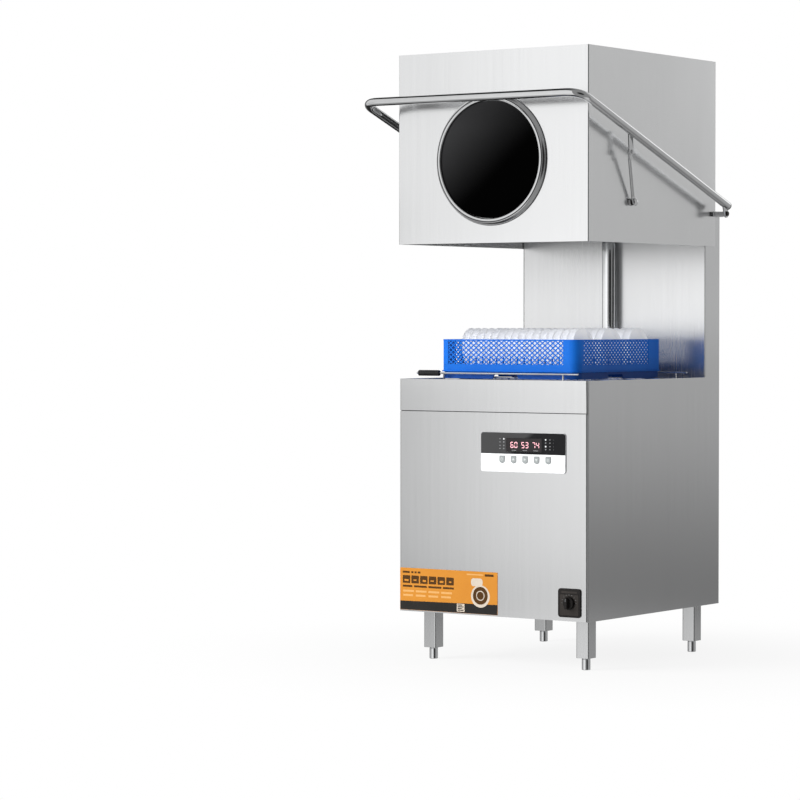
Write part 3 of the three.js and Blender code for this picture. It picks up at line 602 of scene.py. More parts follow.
# ---- linkage ---------------------------------------------------------------------------------
rise_y, rise_z = LINK_TOP_Y - PIN_Y, LINK_TOP_Z - PIN_Z
low = (PIN_Y + rise_y * 0.12, PIN_Z + rise_z * 0.12)
high = (LINK_TOP_Y - rise_y * 0.12, LINK_TOP_Z - rise_z * 0.12)
PIN = ("X", PIN_Y, PIN_Z)
PIVOT = ("X", PIVOT_Y, PIVOT_Z)
FOOT_X = HOOD_SIDE + 0.4
for word, side in SIDES:
    bar = Shape()
    bar.prism(stadium((PIN_Y, PIN_Z), low, 8), "X", side * (LINK_X - 2.5), side * (LINK_X + 2.5), 0.9, 3,
              holes=[circle(PIN_Y, PIN_Z, 4.4, 24)])
    bar.prism(stadium(high, (LINK_TOP_Y, LINK_TOP_Z), 8), "X", side * (LINK_TOP_X - 2.5),
              side * (LINK_TOP_X + 2.5), 0.9, 3)
    bar.sweep([(side * LINK_X, *low), (side * (LINK_TOP_X - 3.2), *high)], circle(0, 0, 5.5, 24))
    bar.put(f"link_rod_{word}", f"link_{word}", "handle_chrome", [f"link_bar_{word}"], flat=False)
    stud = [(0, FOOT_X), (12, FOOT_X), (12, FOOT_X + 2), (10.4, FOOT_X + 3), (6, FOOT_X + 3),
            (6, LINK_X - 2.9), (4, LINK_X - 2.9), (4, LINK_X + 2.9), (5, LINK_X + 2.9), (5, LINK_X + 4),
            (0, LINK_X + 4)]
    turned(f"link_stud_{word}", "hood", "handle_chrome", outward(side, stud), *PIN, 32, [f"link_pin_{word}"])
    cap = [(0, LINK_X + 2.9), (9.6, LINK_X + 2.9), (11.4, LINK_X + 4), (11.5, LINK_X + 6.4),
           (9.6, LINK_X + 8.4), (5, LINK_X + 9.4), (0, LINK_X + 9.6)]
    turned(f"link_cap_{word}", "hood", "handle_chrome", outward(side, cap), *PIN, 28)
    # painted shade: a black sleeve behind the link stands for the pin's shadow on the hood side
    bush = [(6.2, FOOT_X + 3.2), (9.8, FOOT_X + 3.2), (9.8, LINK_X - 3.1), (6.2, LINK_X - 3.1),
            (6.2, FOOT_X + 3.2)]
    turned(f"link_shade_bush_{word}", "hood", "black_plastic", outward(side, bush), *PIN, 28)
    bracket = Shape()
    strap = [(300, BACK + 0.4), (348, BACK + 0.4), (348, PIVOT_Y - 12), (352, PIVOT_Y - 12),
             (352, BACK + 4.4), (300, BACK + 4.4)]
    bracket.prism([(side * x, y) for x, y in strap], "Z", PIVOT_Z - 8, PIVOT_Z + 8, 0.8, 2)
    bracket.turn(outward(side, [(0, 350), (5, 350), (5, 393), (0, 393)]), *PIVOT, 28)
    sleeve = [(5.2, 352.2), (7, 352.2), (7, 384.6), (6, 385.6), (5.2, 385.6), (5.2, 352.2)]
    bracket.turn(outward(side, sleeve), *PIVOT, 28)
    bush = [(0, 392.4), (8, 392.4), (8, 395.6), (6.4, 397), (0, 397)]
    turned(f"pivot_bush_{word}", "cabinet", "black_plastic", outward(side, bush), *PIVOT, 6)
    bolt = [(0, BACK + 4.4), (5.6, BACK + 4.4), (5.6, BACK + 6.4), (4, BACK + 7.6), (0, BACK + 8)]
    for bolt_x in (312, 332):
        bracket.turn(bolt, "Y", side * bolt_x, PIVOT_Z, 6)
    bracket.put(f"pivot_strap_{word}", "cabinet", "handle_chrome", [f"pivot_bracket_{word}"])

# ---- legs ------------------------------------------------------------------------------------
for place_name in ("front_left", "front_right", "rear_left", "rear_right"):
    x0, y0, z0, x1, y1, z1 = mm(f"leg_{place_name}")
    cx, cy = (x0 + x1) / 2, (y0 + y1) / 2
    leg = Shape()
    bore = rrect(x0 + 1.5, x1 - 1.5, y0 + 1.5, y1 - 1.5, 3.5)
    leg.prism(rrect(x0, x1, y0, y1, 5), "Z", z0, z1, 0.3, 1, holes=[bore])
    leg.prism(rrect(x0 + 1.2, x1 - 1.2, y0 + 1.2, y1 - 1.2, 3.4), "Z", z0 + 0.6, z0 + 6, 0.8, 2,
              holes=[circle(cx, cy, 8.6, 24)])
    leg.put(f"leg_tube_{place_name}", "cabinet", "leg_steel", [f"leg_{place_name}"])
    fx0, _, _, fx1, _, _ = mm(f"foot_{place_name}")
    fr = (fx1 - fx0) / 2
    foot = [(0, 0), (fr - 2.4, 0), (fr - 0.8, 0.5), (fr, 1.8), (fr, z0 - 4.4), (fr - 0.6, z0 - 3.6),
            (fr - 0.6, z0 - 3), (fr, z0 - 2.4), (fr - 0.4, z0 - 1), (fr - 1.4, z0 - 0.4),
            (8.2, z0 - 0.4), (8.2, z0 + 14), (0, z0 + 14)]
    turned(f"foot_turned_{place_name}", "cabinet", "foot_chrome", foot, "Z", cx, cy, 40,
           [f"foot_{place_name}"])

# ---- riser and track -------------------------------------------------------------------------
x0, y0, z0, x1, y1, z1 = mm("wash_riser")
riser_r = (x1 - x0) / 2 - 2
deck = mm("wash_tank")[5]
riser = [(0, z0), (20, z0), (20, deck + 0.4), (riser_r + 2, deck + 0.4), (riser_r + 2, deck + 5),
         (riser_r + 0.6, deck + 7), (riser_r, deck + 9), (riser_r, z1), (0, z1)]
turned("riser_tube", "cabinet", "riser_chrome", riser, "Z", (x0 + x1) / 2, (y0 + y1) / 2, 72, ["wash_riser"])

SX0, SY0, SZ0, SX1, SY1, SZ1 = mm("track_sleeve")
sleeve_r = (SZ1 - SZ0) / 2
BORE_R, RIB_PITCH = 3.4, 7
ribs = [(BORE_R, SX0)]
for i in range(11):
    at = SX0 + i * RIB_PITCH
    ribs += [(sleeve_r - 0.8, at + 0.2), (sleeve_r, at + 1), (sleeve_r, at + 4.4), (sleeve_r - 0.6, at + 5.2),
             (sleeve_r - 2, at + 5.6), (sleeve_r - 2, at + 6.8)]
ribs += [(BORE_R, SX1), (BORE_R, SX0)]
turned("track_grip", "cabinet", "black_rubber", ribs, "X", (SY0 + SY1) / 2, (SZ0 + SZ1) / 2, 28,
       ["track_sleeve"])

# ---- dish rack -------------------------------------------------------------------------------
BX0, BY0, BZ0, BX1, BY1, BZ1 = mm("dish_rack")
RCX, RCY = (BX0 + BX1) / 2, (BY0 + BY1) / 2
HALF = (BX1 - BX0) / 2
LIP_Z = BZ0 + 21
BAND_Z = BZ0 + 44
RIM_Z = BZ1 - 4.5
CORNER = 30
FLAT = HALF - CORNER
rack = Shape()


def ring_band(z0, z1, grow, wall, bevel):
    """A square band with round corners, about the basket's middle."""
    h, r = HALF + grow, CORNER + grow
    rack.prism(rrect(RCX - h, RCX + h, RCY - h, RCY + h, r, 8), "Z", z0, z1, bevel, 2,
               holes=[rrect(RCX - h + wall, RCX + h - wall, RCY - h + wall, RCY + h - wall, r - wall, 8)])


def corner_wall(side, z0, z1, grow, wall, mat=0):
    """The round corner at the right end of one side, in the basket's own coordinates."""
    turns = [math.radians(i * 11.25) for i in range(9)]
    outline = []
    for radius, order in ((CORNER + grow, turns), (CORNER + grow - wall, turns[::-1])):
        outline += [(FLAT + radius * math.sin(a), -FLAT - radius * math.cos(a)) for a in order]
    side.prism(outline, "Z", z0, z1, 0, 1, mat=mat)


def clip(poly, limit, sign):
    """The part of a polygon on one side of a vertical line."""
    out = []
    for i, p in enumerate(poly):
        q = poly[(i + 1) % len(poly)]
        inside_p, inside_q = sign * (p[0] - limit) >= 0, sign * (q[0] - limit) >= 0
        if inside_p:
            out.append(p)
        if inside_p != inside_q:
            t = (limit - p[0]) / (q[0] - p[0])
            out.append((limit, p[1] + t * (q[1] - p[1])))
    return out


ring_band(RIM_Z, BZ1, 0.5, 7, 1.0)
ring_band(LIP_Z, LIP_Z + 3.5, 4.5, 9, 0.9)
ring_band(LIP_Z + 2, BAND_Z, 0, 3.6, 0.6)
PITCH_U, PITCH_V = 18.5, 14.6


def basket_side(left_post, right_post, line):
    """One side: a notched skirt in the darker blue of painted shade, two posts and a diamond lattice between them.
    """
    side = Shape()
    u0, u1 = -HALF + left_post, HALF - right_post
    v0, v1 = BAND_Z - 1, RIM_Z + 1
    mid = (u0 + u1) / 2
    skirt = [(-FLAT, BZ0), (mid - 47, BZ0), (mid - 40, BZ0 + 13), (mid + 40, BZ0 + 13), (mid + 47, BZ0),
             (FLAT, BZ0), (FLAT, LIP_Z + 1), (-FLAT, LIP_Z + 1)]
    # the skirt and its lower round corner take the second, darker blue: painted shade under the lip
    side.prism(skirt, "Y", -HALF + 3, -HALF + 6.5, 0.5, 1, mat=1)
    corner_wall(side, BZ0, LIP_Z + 1, -3, 3.5, 1)
    corner_wall(side, v0, v1, 0, 3.2)
    side.box(-FLAT, max(u0, -FLAT + 0.5), -HALF, -HALF + 3.2, v0, v1, 0.3, 1)
    side.box(u1, FLAT, -HALF, -HALF + 3.2, v0, v1, 0.3, 1)
    lean = (v1 - v0) * PITCH_U / PITCH_V
    wide = line / 2 * math.hypot(PITCH_U, PITCH_V) / PITCH_V
    for direction in (1, -1):
        for i in range(int((u1 - u0 + lean) / PITCH_U) + 2):
            base = (u0 - lean if direction > 0 else u0) + i * PITCH_U
            quad = [(base - wide, v0), (base + wide, v0), (base + wide + direction * lean, v1),
                    (base - wide + direction * lean, v1)]
            quad = clip(clip(quad, max(u0, -FLAT) - 1, 1), u1 + 1, -1)
            if len(quad) > 2:
                deep = -HALF + 0.9 + (0.5 if direction > 0 else 0)
                side.prism(quad, "Y", deep, deep + 1.6, 0, 1)
    return side


rack.pair(basket_side(32, 52, 3.4), RCX, RCY, 0)
rack.pair(basket_side(32, 86, 5.6), RCX, RCY, 1)
# floor grid and pegs
FLOOR_Z = BZ0 + 18
for i in range(19):
    at = -225 + i * 25
    thick = 2.2 if i % 3 else 4
    rack.box(RCX + at - thick / 2, RCX + at + thick / 2, BY0 + 3, BY1 - 3, FLOOR_Z, FLOOR_Z + 4)
    rack.box(BX0 + 3, BX1 - 3, RCY + at - thick / 2, RCY + at + thick / 2, FLOOR_Z + 0.3, FLOOR_Z + 4.3)
PLATE_PITCH = 25.2
PLATE_ROWS = (-161, 0, 161)
PLATE_X = RCX - 179
peg = [(0, FLOOR_Z + 2), (3.2, FLOOR_Z + 2), (2.1, FLOOR_Z + 46), (1.2, FLOOR_Z + 48), (0, FLOOR_Z + 48.4)]
for i in range(18):
    for row in PLATE_ROWS:
        for dy in (-38, 38):
            rack.turn(peg, "Z", PLATE_X - 8 + (i - 0.5) * PLATE_PITCH, RCY + row + dy, 8)
# the second finish, the darker blue, is painted shade on the skirt
rack.put("rack_basket", "rack", "rack_blue rack_deep", ["dish_rack"])

# ---- plates ----------------------------------------------------------------------------------
PLATE_R, PLATE_N = 65, 40
TILT = math.radians(7)
dish = [(0, 0), (28, 0.4), (34, 1.6), (42, 6), (61, 11.6), (64, 12.4), (65, 13.4), (64.2, 14.4), (61.5, 14.4),
        (42.5, 9.4), (35.5, 5.2), (34.5, 2.8), (31.5, 2.8), (30.5, 4.2), (0, 3.6)]
for r_i, row in enumerate(PLATE_ROWS):
    plates = Shape()
    for i in range(17):
        x = PLATE_X + i * PLATE_PITCH + 0.7 * math.sin(i * 2.3 + r_i)
        part = bmesh.new()
        rings = []
        for radius, h in dish:
            ring_verts = []
            for k in range(PLATE_N if radius else 1):
                a = 2 * math.pi * k / PLATE_N
                v, u = radius * math.sin(a) + PLATE_R, radius * math.cos(a)
                ring_verts.append(part.verts.new((
                    x + 8 - h * math.cos(TILT) - (v - PLATE_R) * math.sin(TILT), RCY + row + u,
                    FLOOR_Z + 9 + v * math.cos(TILT) - h * math.sin(TILT))))
            rings.append(ring_verts)
        bridge(part, rings, PLATE_N)
        plates.take(part, 0)
    plates.put(f"plate_row_{r_i + 1}", "rack", "porcelain", slot=None, angle=60, flat=False)

# ---- control panel ---------------------------------------------------------------------------
PX0, PY0, PZ0, PX1, PY1, PZ1 = mm("control_panel")
DX0, DY0, DZ0, DX1, DY1, DZ1 = mm("display_window")
SPLIT = PZ0 + 54.5


def shield(cx, cz, w, h):
    """A button outline: straight top and sides and a rounded point below."""
    x0, x1, top_z = cx - w / 2, cx + w / 2, cz + h / 2
    point = (cx, 0, cz - h / 2)
    left = curve3((x0, 0, cz - h / 6), (x0, 0, cz - h / 2.6), point, 8)
    right = curve3(point, (x1, 0, cz - h / 2.6), (x1, 0, cz - h / 6), 8)
    top = [(x1, top_z - 1.5), (x1 - 1.5, top_z), (x0 + 1.5, top_z), (x0, top_z - 1.5)]
    return [(p.x, p.z) for p in left] + [(p.x, p.z) for p in right[1:]] + top


buttons = [mm(f"button_{i}") for i in range(1, 6)]
button_mid = [((b[0] + b[3]) / 2, (b[2] + b[5]) / 2, b[3] - b[0], b[5] - b[2]) for b in buttons]
button_holes = [shield(cx, cz, w + 1, h + 1) for cx, cz, w, h in button_mid]
display_hole = rrect(DX0 - 0.5, DX1 + 0.5, DZ0 - 0.5, DZ1 + 0.5, 0.8, 2)
fascia = Shape()
fascia.prism(rrect(PX0, PX1, PZ0, PZ1, 8, 8), "Y", PY1 - 2, PY1, 0.4, 1, holes=[display_hole, *button_holes])
upper = rrect(PX0, PX1, SPLIT - 20, PZ1, 8, 8)[9:27]
lower_part = rrect(PX0, PX1, PZ0, SPLIT + 20, 8, 8)
black_outline = [(PX1, SPLIT), *upper, (PX0, SPLIT)]
white_outline = [(PX0, SPLIT - 0.4), *lower_part[27:], *lower_part[:9], (PX1, SPLIT - 0.4)]
fascia.prism(black_outline, "Y", PY0 + 0.3, PY1 - 1.6, 0.4, 2, holes=[display_hole], mat=1)
fascia.prism(white_outline, "Y", PY0 + 0.3, PY1 - 1.6, 0.4, 2, holes=button_holes, mat=2)
fascia.prism(rrect(PX0 - 1, PX1 + 1, PZ0 - 1, PZ1 + 1, 9, 8), "Y", PY1 - 2.4, PY1, 0.3, 1,
             holes=[rrect(PX0 + 1, PX1 - 1, PZ0 + 1, PZ1 - 1, 7, 8)])
fascia.prism(rrect(DX0 - 3.4, DX1 + 3.4, DZ0 - 3.4, DZ1 + 3.4, 2, 3), "Y", PY0 + 0.05, PY0 + 0.6, 0.2, 1,
             holes=[display_hole], mat=1)
LED_ROWS = (PZ1 - 19, PZ1 - 28.5, PZ1 - 39, PZ1 - 48)
for column, (cx, size) in enumerate(((33.8, 4.2), (47.5, 4.8), (196.5, 4.8), (211.5, 3.8), (223.5, 1.8))):
    for i, z in enumerate(LED_ROWS):
        lit = (column == 1 and i == 0) or (column == 2 and i in (0, 2))
        half = size / 2
        outline = (circle(cx, z, half, 16) if column in (1, 2)
                   else rrect(cx - half, cx + half, z - half * 0.7, z + half * 0.7, 0.6, 2))
        fascia.prism(outline, "Y", PY0 + 0.12, PY0 + 0.5, 0, 1, mat=3 if lit else 4)
fascia.put("control_fascia", "cabinet", "fascia_rim fascia_black fascia_white led_white led_dim",
           ["control_panel"], slot="fascia")

lens = Shape()
lens.box(DX0, DX1, DY0, DY1, DZ0, DZ1, 0.5, 2)
SEGMENTS = {"0": "abcdef", "3": "abgcd", "4": "fgbc", "5": "afgcd", "6": "afgedc", "7": "abc"}
# half a digit's width and height and half a stroke; each segment's left, right, lower and upper edge
hw, hh, s = 5.5, 9.25, 1.3
SEGMENT_BOX = {"a": (-hw + s, hw - s, hh - 2 * s, hh), "g": (-hw + s, hw - s, -s, s),
               "d": (-hw + s, hw - s, -hh, -hh + 2 * s), "f": (-hw, -hw + 2 * s, s, hh - s),
               "e": (-hw, -hw + 2 * s, -hh + s, -s), "b": (hw - 2 * s, hw, s, hh - s),
               "c": (hw - 2 * s, hw, -hh + s, -s)}
for group, word in zip((83.5, 122.5, 161), ("60", "53", "74")):
    for d, ch in enumerate(word):
        cx = group + (d - 0.5) * 14
        cz = DZ0 + 19.5
        for seg in SEGMENTS[ch]:
            a0, a1, b0, b1 = SEGMENT_BOX[seg]
            lens.prism(rrect(cx + a0 + 0.3, cx + a1 - 0.3, cz + b0 + 0.3, cz + b1 - 0.3, 0.7, 2), "Y",
                       DY0 - 0.12, DY0 + 0.4, 0, 1, mat=1)
    lens.box(group - 8, group + 8, DY0 - 0.1, DY0 + 0.4, DZ0 + 2.4, DZ0 + 4.4, mat=2)
lens.put("display_lens", "cabinet", "display_glass led_red led_dim", ["display_window"])

for i, (b, (cx, cz, w, h)) in enumerate(zip(buttons, button_mid), 1):
    key = Shape()
    key.prism(shield(cx, cz, w, h), "Y", b[1], b[4], 0.7, 2)
    y0, y1 = b[1] - 0.15, b[1] + 0.3
    if i == 1:
        hole = circle(cx, cz + 1.5, 3.2, 24)
        key.prism(circle(cx, cz + 1.5, 4.6, 24), "Y", y0, y1, 0, 1, holes=[hole], mat=1)
        key.box(cx - 0.7, cx + 0.7, y0, y1, cz + 2, cz + 7, mat=1)
    elif i == 2:
        key.prism([(cx - 4.6, cz - 1.5), (cx + 4.6, cz - 1.5), (cx, cz + 6)], "Y", y0, y1, 0, 1, mat=1)
    elif i == 3:
        key.prism([(cx - 3.4, cz - 3), (cx + 4.6, cz + 1.6), (cx - 3.4, cz + 6.2)], "Y", y0, y1, 0, 1, mat=1)
    elif i == 4:
        key.prism([(cx, cz - 3.4), (cx + 4.6, cz + 4), (cx - 4.6, cz + 4)], "Y", y0, y1, 0, 1, mat=1)
    else:
        for k in range(3):
            key.box(cx - 4.4, cx + 4.4, y0, y1, cz - 2.2 + k * 3, cz - 0.8 + k * 3, mat=1)
    key.put(f"button_cap_{i}", f"key_{i}", "button_grey button_mark", [f"button_{i}"])

# ---- isolator --------------------------------------------------------------------------------
IX0, IY0, IZ0, IX1, IY1, IZ1 = mm("isolator_plate")
_, QY0, _, _, QY1, _ = mm("isolator_knob")
ICX, ICZ = (IX0 + IX1) / 2, (IZ0 + IZ1) / 2
iso = Shape()
iso.prism(rrect(IX0, IX1, IZ0, IZ1, 9, 8), "Y", IY0, IY1, 1.2, 3, holes=[circle(ICX, ICZ, 8.4, 32)])
iso.prism(rrect(IX0 + 7, IX1 - 7, IZ0 + 6, IZ1 - 18, 4, 5), "Y", IY0 - 0.35, IY0 + 0.5, 0.2, 1,
          holes=[circle(ICX, ICZ, 20.5, 48)], mat=1)
iso.prism(rrect(IX0 + 12, IX1 - 12, IZ1 - 14, IZ1 - 8, 2, 3), "Y", IY0 - 0.25, IY0 + 0.5, 0, 1, mat=1)
tick = [(23.4, -0.5), (26, -0.5), (26, 0.5), (23.4, 0.5)]
for i in range(9):
    c, d = math.cos(math.radians(180 - i * 22.5)), math.sin(math.radians(180 - i * 22.5))
    outline = [(ICX + u * c - v * d, ICZ + u * d + v * c) for u, v in tick]
    iso.prism(outline, "Y", IY0 - 0.5, IY0, 0, 1, mat=2)
iso.put("isolator_face", "cabinet", "black_plastic dark_grey led_dim", ["isolator_plate"])
knob = Shape()
dial_y = IY0 - 9
knob.turn([(0, dial_y), (15, dial_y), (16.8, dial_y + 0.6), (17.8, dial_y + 2), (18, IY0 - 1.2),
           (17.4, IY0 - 0.4), (8, IY0 - 0.4), (8, QY1), (0, QY1)], "Y", ICX, ICZ, 56)
knob.prism(rrect(ICX - 5, ICX + 5, ICZ - 17, ICZ + 17, 4.4, 6), "Y", QY0, dial_y + 1, 1.6, 3)
knob.box(ICX - 0.8, ICX + 0.8, QY0 - 0.15, QY0 + 0.4, ICZ + 5, ICZ + 14, mat=1)
knob.put("isolator_dial", "isolator", "black_plastic led_dim", ["isolator_knob"])

# ---- label: plain blocks and an abstract dish stand in for its printing --------------------------
LX0, LY0, LZ0, LX1, LY1, LZ1 = mm("info_label")
card = Shape()
card.prism(rrect(LX0, LX1, LZ0, LZ1, 2, 4), "Y", LY0, LY1, 0, 1)
PRINT = LY0 - 0.06


def ink(outline, mat, lift=0.0, holes=()):
    """A flat printed shape, lifted a little where it lies over another."""
    card.prism(outline, "Y", PRINT - lift, LY0 + 0.2, 0, 1, holes=holes, mat=mat)


def ink_bar(x0, x1, z0, z1, mat, lift=0.0):
    """A printed bar."""
    ink(rrect(x0, x1, z0, z1, 0.5, 2), mat, lift)


ink([(LX0 + 0.5, LZ0 + 0.5), (LX1 - 0.5, LZ0 + 0.5), (LX1 - 0.5, LZ0 + 31), (LX0 + 0.5, LZ0 + 27)], 1)
for i in range(6):
    bx = LX0 + 10 + i * 32.4
    ink(rrect(bx, bx + 28, LZ0 + 82, LZ0 + 106, 2, 3), 2,
        holes=[rrect(bx + 6 + (i % 3) * 2, bx + 22 - (i % 2) * 3, LZ0 + 88 + (i % 2) * 2, LZ0 + 94, 1, 2)])
for start, end in ((10, 36), (42, 50), (54, 62), (66, 76)):
    ink_bar(LX0 + start, LX0 + end, LZ0 + 113, LZ0 + 119, 2)
for start, end in ((10, 46), (52, 100), (106, 154), (160, 200)):
    ink_bar(LX0 + start, LX0 + end, LZ0 + 70, LZ0 + 76, 2)
for i in range(4):
    ink_bar(LX0 + 12 + i * 47, LX0 + 52 + i * 47, LZ0 + 55, LZ0 + 61, 4)
    ink_bar(LX0 + 12 + i * 47, LX0 + 48 + i * 47, LZ0 + 42, LZ0 + 48, 4)
ink_bar(LX1 - 46, LX1 - 14, LZ1 - 14, LZ1 - 7, 2)
ink_bar(LX1 - 112, LX1 - 52, LZ1 - 12, LZ1 - 8, 4)
dish_x, dish_z = LX1 - 62, LZ0 + 54
ink(circle(dish_x, dish_z, 34, 48), 3, 0.02)
ink(circle(dish_x, dish_z + 2, 27, 48), 2, 0.05)
ink(circle(dish_x, dish_z + 2, 15, 48), 3, 0.09, holes=[circle(dish_x, dish_z + 2, 12.5, 48)])
ink(rrect(dish_x - 34, dish_x + 8, dish_z + 30, dish_z + 54, 9, 6), 3, 0.12)
ink_bar(LX1 - 148, LX1 - 120, LZ0 + 4, LZ0 + 28, 3, 0.03)
for i in range(4):
    ink_bar(LX1 - 145, LX1 - 123 - (i % 2) * 5, LZ0 + 7 + i * 5.2, LZ0 + 10 + i * 5.2, 1, 0.06)
card.put("label_card", "cabinet", "label_orange label_black label_brown label_cream label_pale",
         ["info_label"])

# ---- back: louvre hoods, screws and fittings ------------------------------------------------------
back = Shape()
for i in range(6):
    z = 260 + i * 30
    hood_line = [(BACK - 0.2, z + 9), (BACK + 5, z + 1), (BACK + 5.6, z + 1.6), (BACK + 0.8, z + 10.4),
                 (BACK - 0.2, z + 11)]
    back.prism(hood_line, "X", 58, 222, 0.3, 1)
back.put("rear_louvres", "cabinet", "plain_steel")
screws = Shape()
SCREW_R = 4.2


def screw(x, z):
    """A button-head screw in the back."""
    head = [(0, 1.1), (1.5, 1.1), (1.6, 2.2), (2.2, 2.4), (SCREW_R - 0.6, 1.5), (SCREW_R, 0.4),
            (SCREW_R, -0.3), (0, -0.3)]
    screws.turn([(r, BACK + h) for r, h in head], "Y", x, z, 20)


for sx in (-1, 1):
    for z in (BASE + 22, 400, 620, 840, 1080, 1350):
        screw(sx * 322, z)
for x in (-200, 0, 200):
    screw(x, BASE + 22)
    screw(x, 1350)
screws.put("panel_screws", "cabinet", "foot_chrome")


def fitting(name):
    """A round fitting on the back: its axis, and where it starts and ends along it."""
    x0, y0, z0, x1, y1, z1 = mm(name)
    return ("Y", (x0 + x1) / 2, (z0 + z1) / 2), y0, y1


gland = Shape()
axis, y0, y1 = fitting("cable_gland")
gland.turn([(0, y0), (16, y0), (16, y0 + 5), (0, y0 + 5)], *axis, 6)
gland.turn([(7, y0 + 4), (11.5, y0 + 4), (11.5, y1 - 5), (10, y1 - 1), (8, y1), (7, y1), (7, y0 + 4)],
           *axis, 32)
gland.put("gland_nut", "cabinet", "black_plastic", ["cable_gland"])
inlet = Shape()
axis, y0, y1 = fitting("water_inlet")
inlet.turn([(0, y0), (18, y0), (18, y0 + 5), (0, y0 + 5)], *axis, 6)
spiral = [(9, y0 + 4), (12.5, y0 + 4)]
for i in range(5):
    spiral += [(13.2, y0 + 5.5 + i * 2), (12, y0 + 6.5 + i * 2)]
inlet.turn([*spiral, (11.4, y1), (9, y1), (9, y0 + 4)], *axis, 36)
inlet.put("inlet_thread", "cabinet", "inlet_brass", ["water_inlet"])
axis, y0, y1 = fitting("drain_outlet")
barb = [(18, y0), (27, y0), (27, y0 + 4), (22.6, y0 + 5), (22, y0 + 7), (22.6, y0 + 9), (21.8, y0 + 11),
        (22.4, y0 + 13), (21.6, y1), (18, y1), (18, y0)]
turned("drain_spigot", "cabinet", "drain_plastic", barb, *axis, 40, ["drain_outlet"])

# ---- spray arm nozzles -----------------------------------------------------------------------
for body, node, up in (("upper_wash", "upper_wash_arm", -1), ("lower_wash", "lower_wash_arm", 1),
                       ("upper_rinse", "upper_rinse_arm", -1), ("lower_rinse", "lower_rinse_arm", 1)):
    _, y0, z0, _, y1, z1 = mm(node)
    face = z1 - 3 if up > 0 else z0 + 3
    jets = Shape()
    r = 6.5 if "wash" in body else 3.6
    cone = [(0, -0.5), (r, -0.5), (r, 0.8), (r * 0.75, 2.4), (r * 0.4, 2.4), (r * 0.3, 1.2), (0, 1.2)]
    for k in (-1, 1):
        for d in (50, 92, 134, 176, 212):
            jets.turn([(u, face + up * h) for u, h in cone], "Z", 0, (y0 + y1) / 2 + k * d, 20)
    jets.put(f"{body}_jets", body, "rod_steel")

# ---- stage: camera, light and floor -----------------------------------------------------------
camera_data = bpy.data.cameras.new("camera")
camera_data.lens = 139.14
camera_data.sensor_width = 36.0
camera_data.clip_end = 100
camera = bpy.data.objects.new("camera", camera_data)
camera.location = (5.1465, -8.1025, 1.0341)
camera.rotation_euler = (math.pi / 2 - 0.0245, 0, 0.6148)
scene.collection.objects.link(camera)
scene.camera = camera
scene.view_settings.view_transform = "Standard"

world = bpy.data.worlds.new("studio")
scene.world = world
world.use_nodes = True
wt = world.node_tree
wt.nodes.clear()
w_out = wt.nodes.new("ShaderNodeOutputWorld")
w_coord = wt.nodes.new("ShaderNodeTexCoord")


def lobe(direction, start, full, amount):
    """A soft patch of light around a direction."""
    dot = wt.nodes.new("ShaderNodeVectorMath")
    dot.operation = "DOT_PRODUCT"
    wt.links.new(w_coord.outputs["Generated"], dot.inputs[0])
    dot.inputs[1].default_value = Vector(direction).normalized()
    return remap(wt, dot.outputs["Value"], start, full, 0, amount, "SMOOTHERSTEP")


# direction, cosine where the patch starts, cosine where it is full, strength
LOBES = [
    ((-0.60, -0.78, 0.1), 0.60, 0.95, 0.62),
    ((0.1, 0.95, 0.3), 0.80, 0.97, 0.7),
    ((0.45, 0.42, -0.79), 0.86, 0.97, 0.45),
    ((0.85, -0.5, 0.0), 0.86, 0.97, -0.31),
    ((-0.577, 0.0, 0.817), 0.74, 0.95, -0.32),
    ((-0.577, 0.0, -0.817), 0.72, 0.93, -0.32),
    ((0.577, 0.64, -0.5), 0.90, 0.97, -0.25),
    ((-0.95, 0.3, 0.0), 0.75, 0.95, -0.16),
    ((-0.46, 0.87, 0.14), 0.90, 0.97, -0.9),
    ((-0.42, 0.60, -0.68), 0.90, 0.97, -0.32),
]
level = 0.34
for item in LOBES:
    level = math_node(wt, "ADD", lobe(*item), level)
level = math_node(wt, "MAXIMUM", level, 0.03)

def background(strength):
    """White surroundings of one strength, a number or another node's output."""
    bg = wt.nodes.new("ShaderNodeBackground")
    bg.inputs["Color"].default_value = (1, 1, 1, 1)
    if isinstance(strength, float):
        bg.inputs["Strength"].default_value = strength
    else:
        wt.links.new(strength, bg.inputs["Strength"])
    return bg.outputs[0]


def mix_shader(tree, factor, one, two):
    """A Mix Shader node's output."""
    mix = tree.nodes.new("ShaderNodeMixShader")
    for socket, value in zip(mix.inputs, (factor, one, two)):
        tree.links.new(value, socket)
    return mix.outputs[0]


ray = wt.nodes.new("ShaderNodeLightPath").outputs["Is Camera Ray"]
wt.links.new(mix_shader(wt, ray, background(level), background(1.0)), w_out.inputs["Surface"])

key_data = bpy.data.lights.new("key", "AREA")
key_data.shape = "SQUARE"
key_data.size = 3.0
key_data.energy = 270
key = bpy.data.objects.new("key", key_data)
key.location = (-2.6, -3.9, 2.2)
key.rotation_euler = (Vector((0, 0, 0.95)) - key.location).to_track_quat("-Z", "Y").to_euler()
key.visible_glossy = False
scene.collection.objects.link(key)


def stage_plane(name, verts, mat):
    """One flat quad of the stage."""
    mesh = bpy.data.meshes.new(name)
    mesh.from_pydata(verts, [], [(0, 1, 2, 3)])
    mesh.materials.append(mat)
    obj = bpy.data.objects.new(name, mesh)
    scene.collection.objects.link(obj)
    return obj


def emitter(name):
    """A glowing material: its tree, its emission node, its output node and the object's own coordinates."""
    mat = bpy.data.materials.new(name)
    mat.use_nodes = True
    tree = mat.node_tree
    tree.nodes.clear()
    out = tree.nodes.new("ShaderNodeOutputMaterial")
    shine = tree.nodes.new("ShaderNodeEmission")
    where = tree.nodes.new("ShaderNodeTexCoord")
    return mat, tree, shine, out, where.outputs["Object"]


